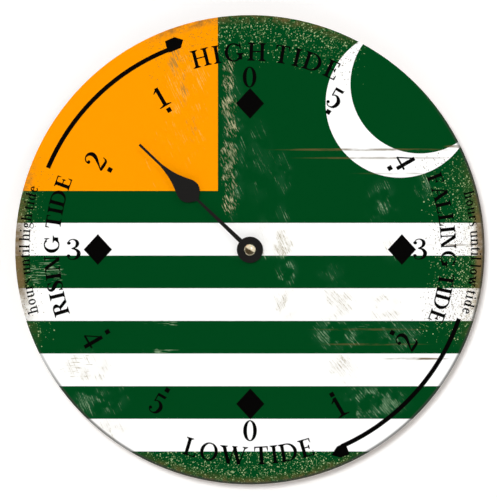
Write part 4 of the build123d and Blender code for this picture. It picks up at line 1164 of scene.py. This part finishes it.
class MotorAndCircuit(bpy.types.Operator):
    """Finishes the motor, the circuit board, the contacts and the battery"""
    bl_idname = "tideclock.motor_and_circuit"
    bl_label = "Finish the motor and circuit"

    def execute(self, context):
        # Soft iron sheet, stamped and annealed: a plain grey with a slight blue cast.
        grained(
            "soft_iron_annealed", ["stator", "coil_core"], "#6D7278", "#8C9096", grain=0.7, roughness=0.42,
            bump=0.08, metallic=1.0)
        # Ferrite, sintered: nearly black, with a dull crystalline grain.
        grained(
            "ferrite_sintered", ["rotor_magnet"], "#1B1B1D", "#2E2E31", grain=0.15, roughness=0.6, bump=0.2,
            metallic=0.4)
        # Nylon, moulded in its natural colour: off white and a little waxy.
        grained(
            "nylon_moulded_natural", ["coil_bobbin"], "#D9D6C8", "#E8E5D8", grain=0.6, roughness=0.4,
            bump=0.05)
        dress(["coil_winding"], wound_copper())
        dress(["circuit_board"], solder_mask())
        # Epoxy resin, dropped on warm: black and glossy, with a faint orange peel.
        grained(
            "epoxy_resin_dropped", ["chip_resin"], "#0B0B0C", "#161617", grain=0.9, roughness=0.2, bump=0.1,
            coat=0.5)
        # Nickel silver, drawn into a can: pale and bright, with fine drawn lines.
        grained(
            "nickel_silver_drawn", ["crystal"], "#B9B9BA", "#D6D6D6", grain=0.3, roughness=0.22, bump=0.05,
            metallic=1.0, stretch=(1.0, 1.0, 6.0))
        # Spring strip, nickel plated: pale and a little yellow, with rolling lines.
        grained(
            "steel_strip_nickel_plated", ["positive_contact", "negative_contact"], "#B9B5A9", "#D9D6CC",
            grain=0.2, roughness=0.3, bump=0.1, metallic=1.0, stretch=(1.0, 1.0, 5.0))
        dress(["battery_can"], battery_sleeve())
        # Nylon, moulded in grey: a dull ring at the battery's positive end.
        grained(
            "nylon_moulded_grey", ["battery_seal"], "#B4B4AE", "#C6C6C0", grain=0.5, roughness=0.55,
            bump=0.08)
        # Steel, pressed and nickel plated: a pale bright button.
        grained(
            "steel_cap_nickel_plated", ["battery_cap"], "#BDBDBB", "#DADAD8", grain=0.25, roughness=0.25,
            bump=0.05, metallic=1.0)
        return {"FINISHED"}


def flat_sheet(name, corners, material, tree, shader, unseen_by):
    """Makes a stage sheet from its corners and its shader, unseen by some kinds of ray."""
    add(tree, "OutputMaterial", {"Surface": shader})
    mesh = bpy.data.meshes.new(name)
    mesh.from_pydata(corners, [], [(0, 1, 2, 3)])
    mesh.materials.append(material)
    sheet = bpy.data.objects.new(name, mesh)
    bpy.context.scene.collection.objects.link(sheet)
    for kind in unseen_by:
        setattr(sheet, "visible_" + kind, False)


class Stage(bpy.types.Operator):
    """Sets the wall, the floor, the lamps and the camera"""
    bl_idname = "tideclock.stage"
    bl_label = "Set the stage"

    def execute(self, context):
        scene = context.scene
        scene.view_settings.view_transform = "Standard"
        self.light_world(scene)
        self.set_wall()
        self.set_card()
        self.set_floor()
        self.hang_lamps(scene)
        self.set_camera(scene)
        return {"FINISHED"}

    def light_world(self, scene):
        """Shows white to the camera and in gloss, and lights the clock softly."""
        world = bpy.data.worlds.new("studio_white")
        world.use_nodes = True
        scene.world = world
        tree = world.node_tree
        tree.nodes.clear()
        rays = add(tree, "LightPath").outputs
        shown = union(tree, rays["Is Camera Ray"], rays["Is Glossy Ray"], rays["Is Transmission Ray"])
        strength = add(tree, "MapRange", {"Value": shown, "To Min": 0.17, "To Max": 1.0})
        light = add(tree, "Background", {"Color": linear("#FFFFFF"), "Strength": strength})
        add(tree, "OutputWorld", {"Surface": light})

    def set_wall(self):
        """Makes a white wall with the dial's narrow shadow. Nothing of it shows from behind."""
        material, tree, _ = start_material("plaster_wall_white")
        matt = add(tree, "BsdfDiffuse", {"Color": linear("#FFFFFF")})
        glow = add(tree, "Emission", {"Color": linear("#FFFFFF"), "Strength": 0.08})
        front = add(tree, "AddShader", {0: matt, 1: glow})
        side = add(tree, "NewGeometry").outputs["Backfacing"]
        shader = add(tree, "MixShader", {0: side, 1: front, 2: add(tree, "BsdfTransparent")})
        upright = rectangle(-STAGE_REACH, FLOOR_LEVEL, STAGE_REACH, STAGE_REACH)
        corners = [(x, WALL_PLACE, z) for x, z in upright]
        flat_sheet("wall", corners, material, tree, shader, ("diffuse", "glossy", "shadow"))

    def set_card(self):
        """Makes a brown card that shows only in shiny metal, and shades the lower side of the dome."""
        material, tree, _ = start_material("card_matt_brown")
        shader = add(tree, "BsdfDiffuse", {"Color": linear("#6E6454")})
        flat_sheet("dark_card", CARD_CORNERS, material, tree, shader, ("camera", "diffuse", "shadow"))

    def set_floor(self):
        """Makes a pale painted floor, a little brighter to the camera alone."""
        material, tree, place = start_material("floor_pale_painted")
        speckle = add(tree, "TexNoise", {"Vector": place, "Scale": 1.0 / (25 * MM), "Detail": 3.0})
        tint = paint(tree, linear("#ECEBE8"), linear("#F4F3F1"), speckle)
        matt = add(tree, "BsdfDiffuse", {"Color": tint})
        seen = overlap(tree, add(tree, "LightPath").outputs["Is Camera Ray"], 0.75)
        glow = add(tree, "Emission", {"Color": tint, "Strength": seen})
        shader = add(tree, "AddShader", {0: matt, 1: glow})
        square = rectangle(-STAGE_REACH, -STAGE_REACH, STAGE_REACH, STAGE_REACH)
        flat_sheet("floor", [(x, y, FLOOR_LEVEL) for x, y in square], material, tree, shader, ("glossy",))

    def hang_lamps(self, scene):
        """Hangs the square lamps, each turned to the clock's centre. Only the front one shows in no gloss."""
        for name, place, side, power in LAMPS:
            data = bpy.data.lights.new(name, "AREA")
            data.size = side
            data.energy = power
            lamp = bpy.data.objects.new(name, data)
            lamp.location = place
            lamp.rotation_euler = (-Vector(place)).to_track_quat("-Z", "Y").to_euler()
            lamp.visible_glossy = name != "front_lamp"
            scene.collection.objects.link(lamp)

    def set_camera(self, scene):
        """Sets the camera level at the distance where the picture is as wide as it should be."""
        data = bpy.data.cameras.new("photo_camera")
        data.lens = LENS
        data.sensor_width = FILM_WIDTH
        camera = bpy.data.objects.new("photo_camera", data)
        camera.location = (CAMERA_ACROSS, FACE_FRONT - FRAME_WIDTH * LENS / FILM_WIDTH, CAMERA_UP)
        camera.rotation_euler = (math.pi / 2, 0.0, 0.0)
        scene.collection.objects.link(camera)
        scene.camera = camera


class TideClockPanel(bpy.types.Panel):
    """Lists the steps that dress the clock"""
    bl_idname = "VIEW3D_PT_tide_clock"
    bl_label = "Tide clock"
    bl_space_type = "VIEW_3D"
    bl_region_type = "UI"
    bl_category = "Tide clock"

    def draw(self, context):
        for step in STEPS:
            self.layout.operator(step.bl_idname)
        for group in (context.scene.tide_clock_sizes, context.scene.tide_clock_colours):
            for name in group.__annotations__:
                self.layout.prop(group, name)


STEPS = [
    DialPrint, DialNumbers, DialMarks, DialLegends, HandAndCap, MovementCase, GearTrain, MotorAndCircuit,
    Stage]
CLASSES = [TideClockSizes, TideClockColours] + STEPS + [TideClockPanel]


def register():
    for cls in CLASSES:
        bpy.utils.register_class(cls)
    bpy.types.Scene.tide_clock_sizes = bpy.props.PointerProperty(type=TideClockSizes)
    bpy.types.Scene.tide_clock_colours = bpy.props.PointerProperty(type=TideClockColours)


def unregister():
    del bpy.types.Scene.tide_clock_colours
    del bpy.types.Scene.tide_clock_sizes
    for cls in reversed(CLASSES):
        bpy.utils.unregister_class(cls)


def main():
    """Runs every step in order."""
    register()
    bpy.ops.tideclock.dial_print()
    bpy.ops.tideclock.dial_numbers()
    bpy.ops.tideclock.dial_marks()
    bpy.ops.tideclock.dial_legends()
    bpy.ops.tideclock.hand_and_cap()
    bpy.ops.tideclock.movement_case()
    bpy.ops.tideclock.gear_train()
    bpy.ops.tideclock.motor_and_circuit()
    bpy.ops.tideclock.stage()


if __name__ == "__main__":
    main()
